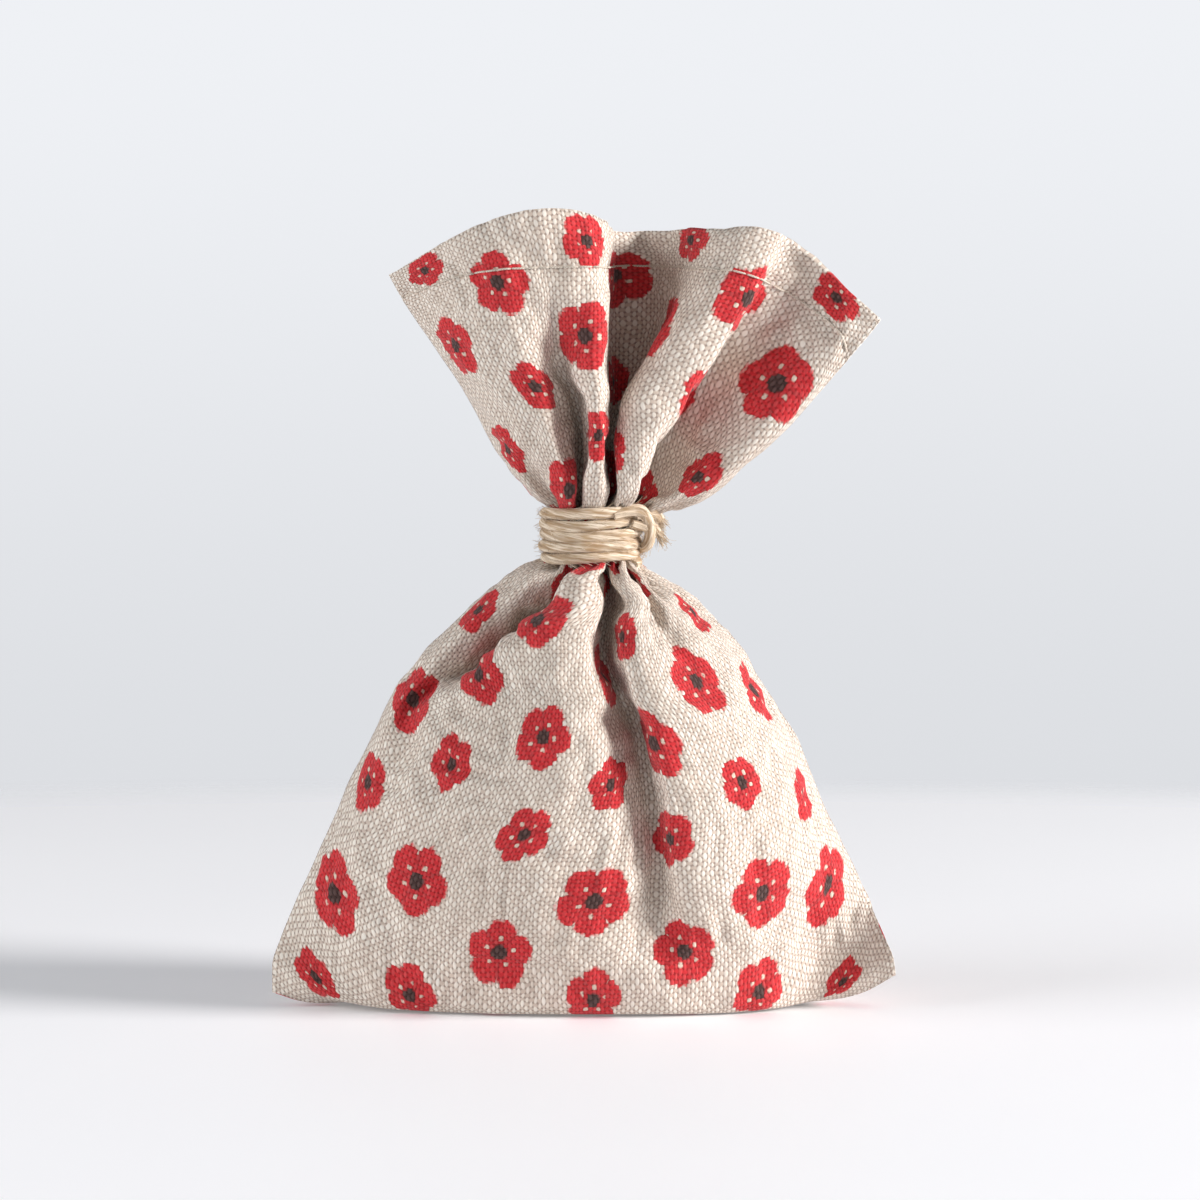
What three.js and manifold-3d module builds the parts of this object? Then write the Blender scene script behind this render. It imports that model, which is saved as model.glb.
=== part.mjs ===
// A filled fabric pouch: two canvas panels sewn together round a loose dry filling, gathered at the neck,
// tied with wound twine, and left open as a spreading head of cloth above the tie.
// Millimetres, +Z up, the front towards -Y, the origin on the floor under the middle of the sack.
import * as THREE from 'three';
import { mergeVertices } from 'three/addons/utils/BufferGeometryUtils.js';
import Module from 'manifold-3d';

// Cloth, thread and the clearance between pieces that lie against each other
const CLOTH = 0.7;
const THREAD = 0.4;
const GAP = 0.3;

// The filled sack below the tie
const SACK_HEIGHT = 75;
const BASE_WIDTH = 106;
const UNDERSIDE_DEPTH = 34;
const SACK_BULGE = 12.5;
const CORNER_LIFT = 3.5;
const CORNER_START = 0.8;
const NECK_WIDTH = 19;
const NECK_DEPTH = 17;
const TAPER_SHARE = 0.5;
const SHOULDER_POWER = 4;
const BULGE_POWER = 0.75;
const FRONT_FULLNESS = [0.75, 0.35];
const BACK_FULLNESS = [0.95, 0.6];
const FILL_LEVEL = 0.82;
const FILL_CROWN = 2;
const FILL_GAP = 0.6;
const FILL_EASE = 1.6;

// Folds that run down the sack from the tie: place across the panel at the tie, how far each moves across it
// on its way down, its depth as a share of the sack's bulge, less than 0 for a ridge, and its width
const FRONT_FOLDS = [
  { at: -0.35, lean: -1.8, depth: 0.5, width: 0.13 },
  { at: 0.18, lean: 0.15, depth: 0.85, width: 0.1 },
  { at: 0.5, lean: 0.1, depth: -0.15, width: 0.2 },
];
const BACK_FOLDS = [
  { at: -0.6, lean: -0.1, depth: 0.25, width: 0.12 },
  { at: -0.25, lean: -0.1, depth: 0.4, width: 0.12 },
  { at: 0.1, lean: 0, depth: 0.4, width: 0.12 },
  { at: 0.45, lean: 0.1, depth: 0.35, width: 0.12 },
];
const FOLD_START = 0.33;
const FOLD_FULL = 0.8;
const FOLD_END = 0.9;

// The tie
const NECK_RADIUS = 6.5;
const NECK_PLEATS = 9;
const PLEAT_RIPPLE = 0.06;
const TWINE = 1.4;
const TWINE_SPACE = 0.44;
const TURNS = 5;
const KNOT_RADIUS = 1.2;
const KNOT_ANGLE = -25;
const TAIL_LENGTH = 3.5;
const TAIL_ANGLE = 35;

// The head of cloth above the tie
const THROAT_HEIGHT = 7;
const THROAT_DROOP = 3.5;
const THROAT_LEFT = 13;
const THROAT_RIGHT = 17;
const WAIST_SPREAD = 0.6;
const HEAD_RISE = 51.3;
const HEAD_LEFT = 34;
const HEAD_RIGHT = 49.5;
const LEFT_CORNER_RISE = 39.6;
const RIGHT_CORNER_RISE = 32.6;
const RIGHT_CORNER_FORWARD = 8.5;
const LOBE_DEPTH = 14;
const BACK_DEPTH = 18;
const HEM_DEPTH = 9;

// The head's crests and valleys from the left seam to the right, each at the throat, half way up and at the
// hem: place across as a share of the width to that side, depth as a share of the lobe's depth, and how far
// the hem stands above its corner there
const FRONT_HEAD_FOLDS = [
  { across: [-1, -1, -1], depth: [0, 0, 0], rise: 0 },
  { across: [-0.72, -0.72, -0.65], depth: [0.45, 0.72, 0.75], rise: 0.58 },
  { across: [-0.44, -0.42, -0.27], depth: [0.72, 0.97, 1], rise: 0.97 },
  { across: [-0.13, -0.15, -0.11], depth: [0.25, 0.52, 0.96], rise: 1 },
  { across: [0.05, 0.02, 0.03], depth: [0.8, 1.02, 0.8], rise: 0.95 },
  { across: [0.21, 0.19, 0.14], depth: [0.1, -0.28, -0.4], rise: 0.77 },
  { across: [0.36, 0.34, 0.4], depth: [0.8, 0.85, 0.3], rise: 0.82 },
  { across: [0.6, 0.6, 0.58], depth: [0.7, 0.92, 0.7], rise: 0.78 },
  { across: [0.66, 0.68, 0.7], depth: [0.25, 0.42, 0.5], rise: 0.63 },
  { across: [0.88, 0.88, 0.88], depth: [0.42, 0.68, 0.7], rise: 0.23 },
  { across: [1, 1, 1], depth: [0, 0, 0], rise: 0 },
];
const BACK_HEAD_FOLDS = [
  { across: [-1, -1, -1], depth: [0, 0, 0], rise: 0 },
  { across: [-0.8, -0.8, -0.78], depth: [0.3, 0.48, 0.58], rise: 0.12 },
  { across: [-0.42, -0.42, -0.4], depth: [0.52, 0.75, 0.97], rise: 0.33 },
  { across: [0, 0.04, 0.05], depth: [0.57, 0.85, 1], rise: 0.6 },
  { across: [0.14, 0.17, 0.22], depth: [0.36, 0.64, 0.85], rise: 0.6 },
  { across: [0.36, 0.38, 0.45], depth: [0.57, 0.82, 0.88], rise: 0.57 },
  { across: [0.64, 0.65, 0.66], depth: [0.4, 0.6, 0.76], rise: 0.46 },
  { across: [0.85, 0.86, 0.86], depth: [0.18, 0.26, 0.28], rise: 0.2 },
  { across: [1, 1, 1], depth: [0, 0, 0], rise: 0 },
];
// How far forward the right seam comes at each of those levels, as a share of its corner's
const SEAM_FORWARD = [0.35, 0.8, 1];
// Where the head's side seams are sewn, across the front panel and at their ends
const HEAD_SEAM_PLACE = 0.95;
const HEAD_SEAM_END = 0.02;

// Fineness of the faceted surfaces
const SACK_COLUMNS = 30;
const FILL_INSET_COLUMNS = 3;
const SACK_ROWS = 15;
const UNDERSIDE_ROWS = 3;
const FOLD_COLUMNS = 5;
const HEAD_ROWS = 8;
const NECK_SIDES = 54;
const THROAT_ROWS = 3;
const TURN_STEPS = 24;
const TWINE_SIDES = 6;
const KNOT_SIDES = 10;
const KNOT_CAP_STEPS = 4;
const THREAD_SIDES = 6;
const SEAM_STEPS = 16;

// Sizes that follow from those above
const SEAM_EDGE = CLOTH + GAP / 2;
const HEM_EDGE = 2 * CLOTH + GAP / 2;
const SEAM_INSET = CLOTH + GAP + THREAD;
const TWINE_PITCH = TWINE + TWINE_SPACE;
const TIE_HEIGHT = TURNS * TWINE_PITCH + TWINE + 2 * GAP;
const WINDING_RADIUS = NECK_RADIUS * (1 + PLEAT_RIPPLE) + GAP + TWINE / 2;
const KNOT_REACH = WINDING_RADIUS + TWINE / 2 + GAP + KNOT_RADIUS;

const FRONT = -1;
const BACK = 1;

const canvas = new THREE.MeshStandardMaterial({ color: 0xcdc3b6, roughness: 0.95, metalness: 0 });
const seed = new THREE.MeshStandardMaterial({ color: 0x8c83a3, roughness: 1, metalness: 0 });
const sewing = new THREE.MeshStandardMaterial({ color: 0xe8e0d2, roughness: 0.8, metalness: 0 });
const jute = new THREE.MeshStandardMaterial({ color: 0xcbb28b, roughness: 0.9, metalness: 0 });

const mix = THREE.MathUtils.lerp;
const ease = THREE.MathUtils.smoothstep;

// Evenly spaced shares from 0 to 1
function shares(count) {
  return Array.from({ length: count + 1 }, (_, i) => i / count);
}

// Places across a panel from -1 at the left seam to 1 at the right, closer together near the seams
function placesAcross(columns) {
  return shares(columns).map((k) => Math.sin((k - 0.5) * Math.PI));
}

function geometryFrom(points, triangles) {
  const geometry = new THREE.BufferGeometry().setFromPoints(points);
  geometry.setIndex(triangles);
  return geometry;
}

// Two triangles for each cell between neighbouring rows of points, where row(i, j) gives a point's index
function weave(triangles, rows, columns, row, flip) {
  for (let i = 0; i < rows; i++) {
    for (let j = 0; j < columns; j++) {
      const [a, b, c, d] = [row(i, j), row(i, j + 1), row(i + 1, j + 1), row(i + 1, j)];
      triangles.push(...(flip ? [a, c, b, a, d, c] : [a, b, c, a, c, d]));
    }
  }
}

// The direction from a cloth surface into the pouch at the place s, t
function inwardAt(surface, side, s, t) {
  const step = 1e-3;
  const along = surface(s, Math.min(1, t + step)).sub(surface(s, Math.max(0, t - step)));
  const across = surface(Math.min(1, s + step), t).sub(surface(Math.max(-1, s - step), t));
  return along.cross(across).normalize().multiplyScalar(-side);
}

// A closed sheet of cloth: an outer face on the surface, an inner face one thickness in, and its four edges
function clothSheet(surface, side, places, levels, thicknessAt) {
  const outer = [];
  const inner = [];
  for (const t of levels) {
    for (const s of places) {
      const point = surface(s, t);
      outer.push(point);
      inner.push(inwardAt(surface, side, s, t).multiplyScalar(thicknessAt(t)).add(point));
    }
  }
  const columns = places.length - 1;
  const rows = levels.length - 1;
  const wide = places.length;
  const all = outer.length;
  const triangles = [];
  const flip = side === BACK;
  weave(triangles, rows, columns, (i, j) => i * wide + j, flip);
  weave(triangles, rows, columns, (i, j) => all + i * wide + j, !flip);
  weave(triangles, 1, columns, (i, j) => (i ? 0 : all) + j, flip);
  weave(triangles, 1, columns, (i, j) => (i ? all : 0) + rows * wide + j, flip);
  weave(triangles, rows, 1, (i, j) => (j ? 0 : all) + i * wide, flip);
  weave(triangles, rows, 1, (i, j) => (j ? all : 0) + i * wide + columns, flip);
  return geometryFrom([...outer, ...inner], triangles);
}

// A closed solid through rings of points, each ring turning anticlockwise seen from above
function ringSolid(rings) {
  const around = rings[0].length;
  const triangles = [];
  weave(triangles, rings.length - 1, around, (i, j) => i * around + (j % around), false);
  const top = (rings.length - 1) * around;
  for (const [a, b, c] of THREE.ShapeUtils.triangulateShape(rings[0], [])) triangles.push(a, c, b);
  for (const [a, b, c] of THREE.ShapeUtils.triangulateShape(rings.at(-1), [])) {
    triangles.push(top + a, top + b, top + c);
  }
  return geometryFrom(rings.flat(), triangles);
}

// A tube of even thickness along a curve, closed at both ends
function tube(path, diameter, sides, steps) {
  const corners = Array.from({ length: sides }, (_, i) => {
    const turn = (i / sides) * 2 * Math.PI;
    return new THREE.Vector2(Math.cos(turn), Math.sin(turn)).multiplyScalar(diameter / 2);
  });
  const section = new THREE.Shape(corners);
  return new THREE.ExtrudeGeometry(section, { steps, extrudePath: path, bevelEnabled: false });
}

function threadAlong(points) {
  return tube(new THREE.CatmullRomCurve3(points), THREAD, THREAD_SIDES, points.length - 1);
}

// How far the folds draw the cloth in at a place across the panel and a share of the sack's height
function foldDepth(folds, place, height, widening) {
  const growth = SACK_BULGE * ease(height, FOLD_START, FOLD_FULL) * (1 - ease(height, FOLD_END, 1));
  return folds.reduce((sum, fold) => {
    const off = (place - fold.at - fold.lean * (1 - height)) / (fold.width * widening);
    return sum + growth * fold.depth * Math.exp(-off * off);
  }, 0);
}

// Half the sack's width between its side seams, at a share of its height
function sackHalfWidth(height) {
  const narrowing = TAPER_SHARE * height + (1 - TAPER_SHARE) * height ** SHOULDER_POWER;
  return mix(BASE_WIDTH / 2, NECK_WIDTH / 2, narrowing);
}

// How far the base is lifted off the floor towards the bottom corners
function cornerLift(place, height) {
  return CORNER_LIFT * ease(Math.abs(place), CORNER_START, 1) * (1 - height);
}

// The outside of a sack panel: s runs across it, and t up it, first along the underside and then up the wall
function sackSurface(side, widening = 1) {
  const folds = side === FRONT ? FRONT_FOLDS : BACK_FOLDS;
  const [fullLow, fullHigh] = side === FRONT ? FRONT_FULLNESS : BACK_FULLNESS;
  const underside = UNDERSIDE_ROWS / SACK_ROWS;
  return (s, t) => {
    const height = Math.max(0, (t - underside) / (1 - underside));
    const reach = Math.min(1, t / underside);
    const lens = Math.max(0, 1 - s * s) ** mix(fullLow, fullHigh, height);
    const swell = SACK_BULGE * (4 * height * (1 - height)) ** BULGE_POWER;
    const bulge = mix(UNDERSIDE_DEPTH / 2, NECK_DEPTH / 2, height) + swell;
    const depth = SEAM_EDGE + (bulge - SEAM_EDGE - foldDepth(folds, s, height, widening)) * lens;
    return new THREE.Vector3(
      sackHalfWidth(height) * s,
      side * mix(GAP / 2, depth, reach),
      SACK_HEIGHT * height + cornerLift(s, height),
    );
  };
}

function sackPanel(side) {
  return clothSheet(sackSurface(side), side, placesAcross(SACK_COLUMNS), shares(SACK_ROWS), () => CLOTH);
}

// The dry filling, a clearance inside the panels, with eased folds, and clear of the seam threads
function filling() {
  const underside = UNDERSIDE_ROWS / SACK_ROWS;
  const floor = CLOTH + THREAD + 2 * GAP;
  const places = placesAcross(SACK_COLUMNS).slice(FILL_INSET_COLUMNS, -FILL_INSET_COLUMNS);
  const inside = (side, s, t) => {
    const surface = sackSurface(side, FILL_EASE);
    return inwardAt(surface, side, s, t).multiplyScalar(CLOTH + FILL_GAP).add(surface(s, t));
  };
  const lowest = floor / SACK_HEIGHT;
  const levels = shares(SACK_ROWS - UNDERSIDE_ROWS).map((k) => mix(lowest, FILL_LEVEL, k));
  const rings = levels.map((height) => {
    const t = mix(underside, 1, height);
    const front = places.map((s) => inside(FRONT, s, t));
    const back = [...places].reverse().map((s) => inside(BACK, s, t));
    return [...front, ...back];
  });
  for (const point of rings[0]) point.z = Math.max(point.z, floor);
  const crown = rings.at(-1).map(({ x, y, z }) => new THREE.Vector3(x / 2, y / 2, z + FILL_CROWN));
  return ringSolid([...rings, crown]);
}

// The thread that sews a side seam of the sack, just inside where the two panels meet
function sideSeamThread(hand) {
  const points = shares(SEAM_STEPS).map((height) => {
    const x = hand * (sackHalfWidth(height) - SEAM_INSET);
    const z = mix(SEAM_INSET, SACK_HEIGHT - GAP, height) + cornerLift(1, height);
    return new THREE.Vector3(x, 0, z);
  });
  return threadAlong(points);
}

// The thread that sews the bottom seam, lying on the inside of the underside
function bottomSeamThread() {
  const reach = 1 - (SEAM_INSET + 2 * THREAD) / (BASE_WIDTH / 2);
  const points = shares(SEAM_STEPS).map((k) => {
    const s = mix(-reach, reach, k);
    return new THREE.Vector3((BASE_WIDTH / 2) * s, 0, cornerLift(s, 0) + CLOTH + GAP + THREAD / 2);
  });
  return threadAlong(points);
}

// One ring of the pleated bundle that the tie squeezes together
function neckRing(height) {
  return Array.from({ length: NECK_SIDES }, (_, j) => {
    const turn = (j / NECK_SIDES) * 2 * Math.PI - Math.PI;
    const radius = NECK_RADIUS * (1 + PLEAT_RIPPLE * Math.cos(NECK_PLEATS * turn));
    return new THREE.Vector3(radius * Math.cos(turn), radius * Math.sin(turn), height);
  });
}

function neckGathers() {
  return ringSolid([neckRing(GAP), neckRing(TIE_HEIGHT)]);
}

// The twine's centre line: a straight run in from the knot, the turns round the neck, and a straight run back
class WindingPath extends THREE.Curve {
  constructor() {
    super();
    this.knotTurn = THREE.MathUtils.degToRad(KNOT_ANGLE);
    this.swing = Math.acos(WINDING_RADIUS / KNOT_REACH);
    this.run = KNOT_REACH * Math.sin(this.swing) - KNOT_RADIUS - GAP;
    this.wound = TURNS * 2 * Math.PI - 2 * this.swing;
    this.total = 2 * this.run + WINDING_RADIUS * this.wound;
  }

  getPoint(share, target = new THREE.Vector3()) {
    const along = share * this.total - this.run;
    const turn = THREE.MathUtils.clamp(along / WINDING_RADIUS, 0, this.wound);
    const beyond = along - turn * WINDING_RADIUS;
    const angle = this.knotTurn + this.swing + turn;
    const height = GAP + TWINE / 2 + (TURNS * TWINE_PITCH * turn) / this.wound;
    target.set(WINDING_RADIUS * Math.cos(angle), WINDING_RADIUS * Math.sin(angle), height);
    target.x -= beyond * Math.sin(angle);
    target.y += beyond * Math.cos(angle);
    return target;
  }
}

// The least clear space between one turn of the twine and another, measured on points of its centre line
function leastTwineGap(path) {
  const points = path.getSpacedPoints(TURNS * TURN_STEPS * 2);
  const apart = Math.ceil((Math.PI * WINDING_RADIUS) / (path.getLength() / (points.length - 1)));
  let least = Infinity;
  for (let i = 0; i < points.length; i++) {
    for (let j = i + apart; j < points.length; j++) {
      least = Math.min(least, points[i].distanceTo(points[j]));
    }
  }
  return least - TWINE;
}

function twineWinding() {
  const path = new WindingPath();
  console.log(`least gap between turns of twine: ${leastTwineGap(path).toFixed(2)} mm`);
  return tube(path, TWINE, TWINE_SIDES, TURNS * TURN_STEPS);
}

const wasm = await Module();
wasm.setup();

function asManifold(geometry) {
  const bare = geometry.clone();
  bare.deleteAttribute('normal');
  bare.deleteAttribute('uv');
  const merged = mergeVertices(bare);
  const vertProperties = new Float32Array(merged.attributes.position.array);
  const triVerts = new Uint32Array(merged.index.array);
  return new wasm.Manifold(new wasm.Mesh({ numProp: 3, vertProperties, triVerts }));
}

function asGeometry(manifold) {
  const mesh = manifold.getMesh();
  const geometry = new THREE.BufferGeometry();
  geometry.setAttribute('position', new THREE.Float32BufferAttribute(mesh.vertProperties, 3));
  geometry.setIndex(Array.from(mesh.triVerts));
  return geometry;
}

// The knot that holds both ends of the winding: a hitch up the side of the turns, with two short cut tails
function twineKnot() {
  const length = TURNS * TWINE_PITCH;
  const hitch = new THREE.CapsuleGeometry(KNOT_RADIUS, length - 2 * GAP, KNOT_CAP_STEPS, KNOT_SIDES);
  hitch.rotateX(Math.PI / 2);
  const tails = [1, -1].map((end) => {
    const tail = new THREE.CapsuleGeometry(TWINE / 2, TAIL_LENGTH, KNOT_CAP_STEPS, KNOT_SIDES);
    tail.translate(0, -TAIL_LENGTH / 2, 0);
    tail.rotateZ(THREE.MathUtils.degToRad(90 - end * TAIL_ANGLE));
    tail.translate(0, 0, (end * length) / 4);
    return tail;
  });
  return asGeometry(tails.reduce((knot, tail) => knot.add(asManifold(tail)), asManifold(hitch)));
}

// The width to each side of the head at the throat, half way up and at the hem
const LEFT_WIDTHS = [THROAT_LEFT, mix(THROAT_LEFT, HEAD_LEFT, WAIST_SPREAD), HEAD_LEFT];
const RIGHT_WIDTHS = [THROAT_RIGHT, mix(THROAT_RIGHT, HEAD_RIGHT, WAIST_SPREAD), HEAD_RIGHT];

function headFolds(side) {
  return side === FRONT ? FRONT_HEAD_FOLDS : BACK_HEAD_FOLDS;
}

// A head panel's curve across its folds: level 0 is the throat, 1 is half way up and 2 is the hem
function headCurve(side, level) {
  const lobe = side === FRONT ? LOBE_DEPTH : BACK_DEPTH;
  const points = headFolds(side).map(({ across, depth, rise }) => {
    const place = across[level];
    const x = place * (place < 0 ? LEFT_WIDTHS : RIGHT_WIDTHS)[level];
    const forward = place === 1 ? RIGHT_CORNER_FORWARD * SEAM_FORWARD[level] : 0;
    const y = side * (Math.abs(place) === 1 ? HEM_EDGE : depth[level] * lobe) - forward;
    const foot = THROAT_HEIGHT - THROAT_DROOP * Math.max(0, across[0]) ** 2;
    const hem = mix(across[2] < 0 ? LEFT_CORNER_RISE : RIGHT_CORNER_RISE, HEAD_RISE, rise);
    return new THREE.Vector3(x, y, mix(foot, hem, level / 2));
  });
  return new THREE.CatmullRomCurve3(points);
}

// The outside of a head panel: s runs across it, and t up it from the throat to the folded top edge
function headSurface(side) {
  const [throat, waist, hem] = [0, 1, 2].map((level) => headCurve(side, level));
  return (s, t) => {
    const across = (s + 1) / 2;
    const point = throat.getPoint(across).multiplyScalar((1 - t) * (1 - 2 * t));
    point.addScaledVector(waist.getPoint(across), 4 * t * (1 - t));
    return point.addScaledVector(hem.getPoint(across), t * (2 * t - 1));
  };
}

const HEM_SHARE = 1 - HEM_DEPTH / (HEAD_RISE - THROAT_HEIGHT);

// Places across a head panel, as many between each crest and its valley
function placesOverFolds(side) {
  return shares((headFolds(side).length - 1) * FOLD_COLUMNS).map((k) => 2 * k - 1);
}

// A head panel, with its top edge turned in and doubled as far as the hem's stitching
function headPanel(side) {
  const places = placesOverFolds(side);
  const levels = [...shares(HEAD_ROWS).map((k) => k * HEM_SHARE), HEM_SHARE + CLOTH / HEAD_RISE, 1];
  return clothSheet(headSurface(side), side, places, levels, (t) => (t > HEM_SHARE ? 2 * CLOTH : CLOTH));
}

// The row of stitches that holds the hem, on the outside of a head panel
function hemThread(side) {
  const surface = headSurface(side);
  const points = placesOverFolds(side).slice(1, -1).map((s) => {
    const out = inwardAt(surface, side, s, HEM_SHARE).multiplyScalar(-(GAP + THREAD / 2));
    return surface(s, HEM_SHARE).add(out);
  });
  return threadAlong(points);
}

// The thread that sews a side seam of the head, on the inside of the front panel
function headSeamThread(hand) {
  const surface = headSurface(FRONT);
  const s = hand * HEAD_SEAM_PLACE;
  const points = shares(SEAM_STEPS).map((k) => {
    const t = mix(HEAD_SEAM_END, 1 - HEAD_SEAM_END, k);
    return inwardAt(surface, FRONT, s, t).multiplyScalar(2 * CLOTH + GAP + THREAD / 2).add(surface(s, t));
  });
  return threadAlong(points);
}

// The gathered cloth between the tie and the head, which bends when the head is pushed over
function throatGathers() {
  const curves = [headCurve(FRONT, 0), headCurve(BACK, 0)];
  const half = NECK_SIDES / 2;
  const top = [
    ...curves[0].getSpacedPoints(half).slice(0, half),
    ...curves[1].getSpacedPoints(half).reverse().slice(0, half),
  ].map((point) => point.setZ(point.z - GAP));
  const bottom = neckRing(GAP);
  const rings = shares(THROAT_ROWS).map((k) => bottom.map((point, j) => point.clone().lerp(top[j], k)));
  return ringSolid(rings);
}

function addPiece(group, name, geometry, material) {
  const mesh = new THREE.Mesh(geometry, material);
  mesh.name = name;
  group.add(mesh);
  return mesh;
}

const sack = new THREE.Group();
addPiece(sack, 'front_panel_sack', sackPanel(FRONT), canvas);
addPiece(sack, 'back_panel_sack', sackPanel(BACK), canvas);
addPiece(sack, 'dry_filling', filling(), seed);
addPiece(sack, 'left_seam_thread', sideSeamThread(-1), sewing);
addPiece(sack, 'right_seam_thread', sideSeamThread(1), sewing);
addPiece(sack, 'bottom_seam_thread', bottomSeamThread(), sewing);

const tie = new THREE.Group();
tie.position.z = SACK_HEIGHT;
addPiece(tie, 'neck_gathers', neckGathers(), canvas);
addPiece(tie, 'twine_winding', twineWinding(), jute);
const knot = addPiece(tie, 'twine_knot', twineKnot(), jute);
const knotTurn = THREE.MathUtils.degToRad(KNOT_ANGLE);
knot.position.set(KNOT_REACH * Math.cos(knotTurn), KNOT_REACH * Math.sin(knotTurn), TIE_HEIGHT / 2);
knot.rotation.z = knotTurn;

const head = new THREE.Group();
head.position.z = SACK_HEIGHT + TIE_HEIGHT;
addPiece(head, 'throat_gathers', throatGathers(), canvas);
addPiece(head, 'front_panel_head', headPanel(FRONT), canvas);
addPiece(head, 'back_panel_head', headPanel(BACK), canvas);
addPiece(head, 'front_hem_thread', hemThread(FRONT), sewing);
addPiece(head, 'back_hem_thread', hemThread(BACK), sewing);
addPiece(head, 'left_head_seam_thread', headSeamThread(-1), sewing);
addPiece(head, 'right_head_seam_thread', headSeamThread(1), sewing);

const pouch = new THREE.Group();
pouch.name = 'fabric_pouch';
pouch.add(sack, tie, head);

export default pouch;
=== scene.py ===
import math

import bpy
import numpy as np
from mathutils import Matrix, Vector


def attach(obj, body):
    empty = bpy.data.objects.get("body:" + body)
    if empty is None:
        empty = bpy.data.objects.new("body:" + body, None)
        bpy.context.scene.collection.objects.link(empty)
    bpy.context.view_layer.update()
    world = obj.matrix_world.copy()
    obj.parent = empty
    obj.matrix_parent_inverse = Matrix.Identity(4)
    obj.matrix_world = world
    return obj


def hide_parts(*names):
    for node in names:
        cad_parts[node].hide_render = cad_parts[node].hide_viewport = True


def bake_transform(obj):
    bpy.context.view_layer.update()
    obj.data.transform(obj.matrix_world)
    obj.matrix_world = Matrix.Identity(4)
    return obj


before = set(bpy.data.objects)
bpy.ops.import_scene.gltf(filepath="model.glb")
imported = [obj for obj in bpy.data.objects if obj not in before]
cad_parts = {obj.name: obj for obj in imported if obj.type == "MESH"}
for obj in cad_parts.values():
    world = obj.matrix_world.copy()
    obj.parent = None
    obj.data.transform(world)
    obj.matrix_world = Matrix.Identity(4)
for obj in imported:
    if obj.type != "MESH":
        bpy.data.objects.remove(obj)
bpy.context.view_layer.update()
scene = bpy.context.scene
scene.view_settings.view_transform = "Standard"
mm = 0.001
print("frame loaded:", len(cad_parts), "nodes")

# Node helpers, shared by the materials and the geometry trees


def operator(operation):
    # a method that adds a Math node, with its wire as the first value
    return lambda *values: values[0].graph.maths(operation, *values)


class Wire:
    # one output socket; arithmetic on wires adds Math nodes
    def __init__(self, graph, socket):
        self.graph = graph
        self.socket = socket

    __add__ = __radd__ = operator("ADD")
    __mul__ = __rmul__ = operator("MULTIPLY")
    __sub__ = operator("SUBTRACT")
    __truediv__ = operator("DIVIDE")
    __pow__ = operator("POWER")
    __mod__ = operator("FLOORED_MODULO")
    floor = operator("FLOOR")
    size = operator("ABSOLUTE")
    root = operator("SQRT")
    cosine = operator("COSINE")
    sine = operator("SINE")
    larger = operator("MAXIMUM")

    def __rsub__(self, other):
        return self.graph.maths("SUBTRACT", other, self)

    def part(self, low, high):
        # 0 below low, 1 above high, eased between; low may be the larger
        ends = (low, high, 0.0, 1.0) if low < high else (high, low, 1.0, 0.0)
        inputs = dict(enumerate((self, *ends)))
        return self.graph.add("ShaderNodeMapRange", inputs, interpolation_type="SMOOTHSTEP")

    def pieces(self):
        return [self.graph.add("ShaderNodeSeparateXYZ", {0: self}, i) for i in range(3)]


class Graph:
    def __init__(self, tree):
        self.tree = tree

    def add(self, kind, inputs=None, out=0, **settings):
        made = self.tree.nodes.new(kind)
        for name, value in settings.items():
            setattr(made, name, value)
        for key, value in (inputs or {}).items():
            if isinstance(value, Wire):
                self.tree.links.new(value.socket, made.inputs[key])
            else:
                made.inputs[key].default_value = value
        return Wire(self, made.outputs[out]) if len(made.outputs) else None

    def maths(self, operation, *values):
        return self.add("ShaderNodeMath", dict(enumerate(values)), operation=operation)

    def span(self, x, y):
        return (x ** 2.0 + y ** 2.0).root()

    def point(self, x, y, z=0.0):
        return self.add("ShaderNodeCombineXYZ", {0: x, 1: y, 2: z})

    def place(self):
        return self.add("ShaderNodeTexCoord", out="Object")

    def blend(self, share, first, second, how="MIX"):
        inputs = {0: share, 6: first, 7: second}
        return self.add("ShaderNodeMix", inputs, 2, data_type="RGBA", blend_type=how)

    def noise(self, place, scale, detail, out=0, dimensions="3D"):
        inputs = {"Vector": place, "Scale": scale, "Detail": detail}
        return self.add("ShaderNodeTexNoise", inputs, out, noise_dimensions=dimensions)

    def bump(self, height, strength, depth):
        return self.add("ShaderNodeBump", {"Strength": strength, "Distance": depth * mm, "Height": height})


def colour(red, green, blue):
    # a screen colour from 0 to 255 as the linear values that shaders take
    def linear(value):
        share = value / 255
        return share / 12.92 if share <= 0.04045 else ((share + 0.055) / 1.055) ** 2.4
    return (linear(red), linear(green), linear(blue), 1.0)


def newMaterial(name):
    material = bpy.data.materials.new(name)
    material.use_nodes = True
    material.node_tree.nodes.clear()
    return material, Graph(material.node_tree)


def finishMaterial(graph, inputs):
    shader = graph.add("ShaderNodeBsdfPrincipled", inputs)
    graph.add("ShaderNodeOutputMaterial", {"Surface": shader})


# Object and mesh helpers


def linked(name, data):
    made = bpy.data.objects.new(name, data)
    scene.collection.objects.link(made)
    return made


def aimAt(made, spot, aim):
    made.location = spot
    made.rotation_euler = (aim - spot).to_track_quat("-Z", "Y").to_euler()


def squareMesh(name, reach, middle=0.0):
    corners = ((-1, -1), (1, -1), (1, 1), (-1, 1))
    mesh = bpy.data.meshes.new(name)
    mesh.from_pydata([(x * reach, middle + y * reach, 0) for x, y in corners], [], [(0, 1, 2, 3)])
    return mesh


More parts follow.
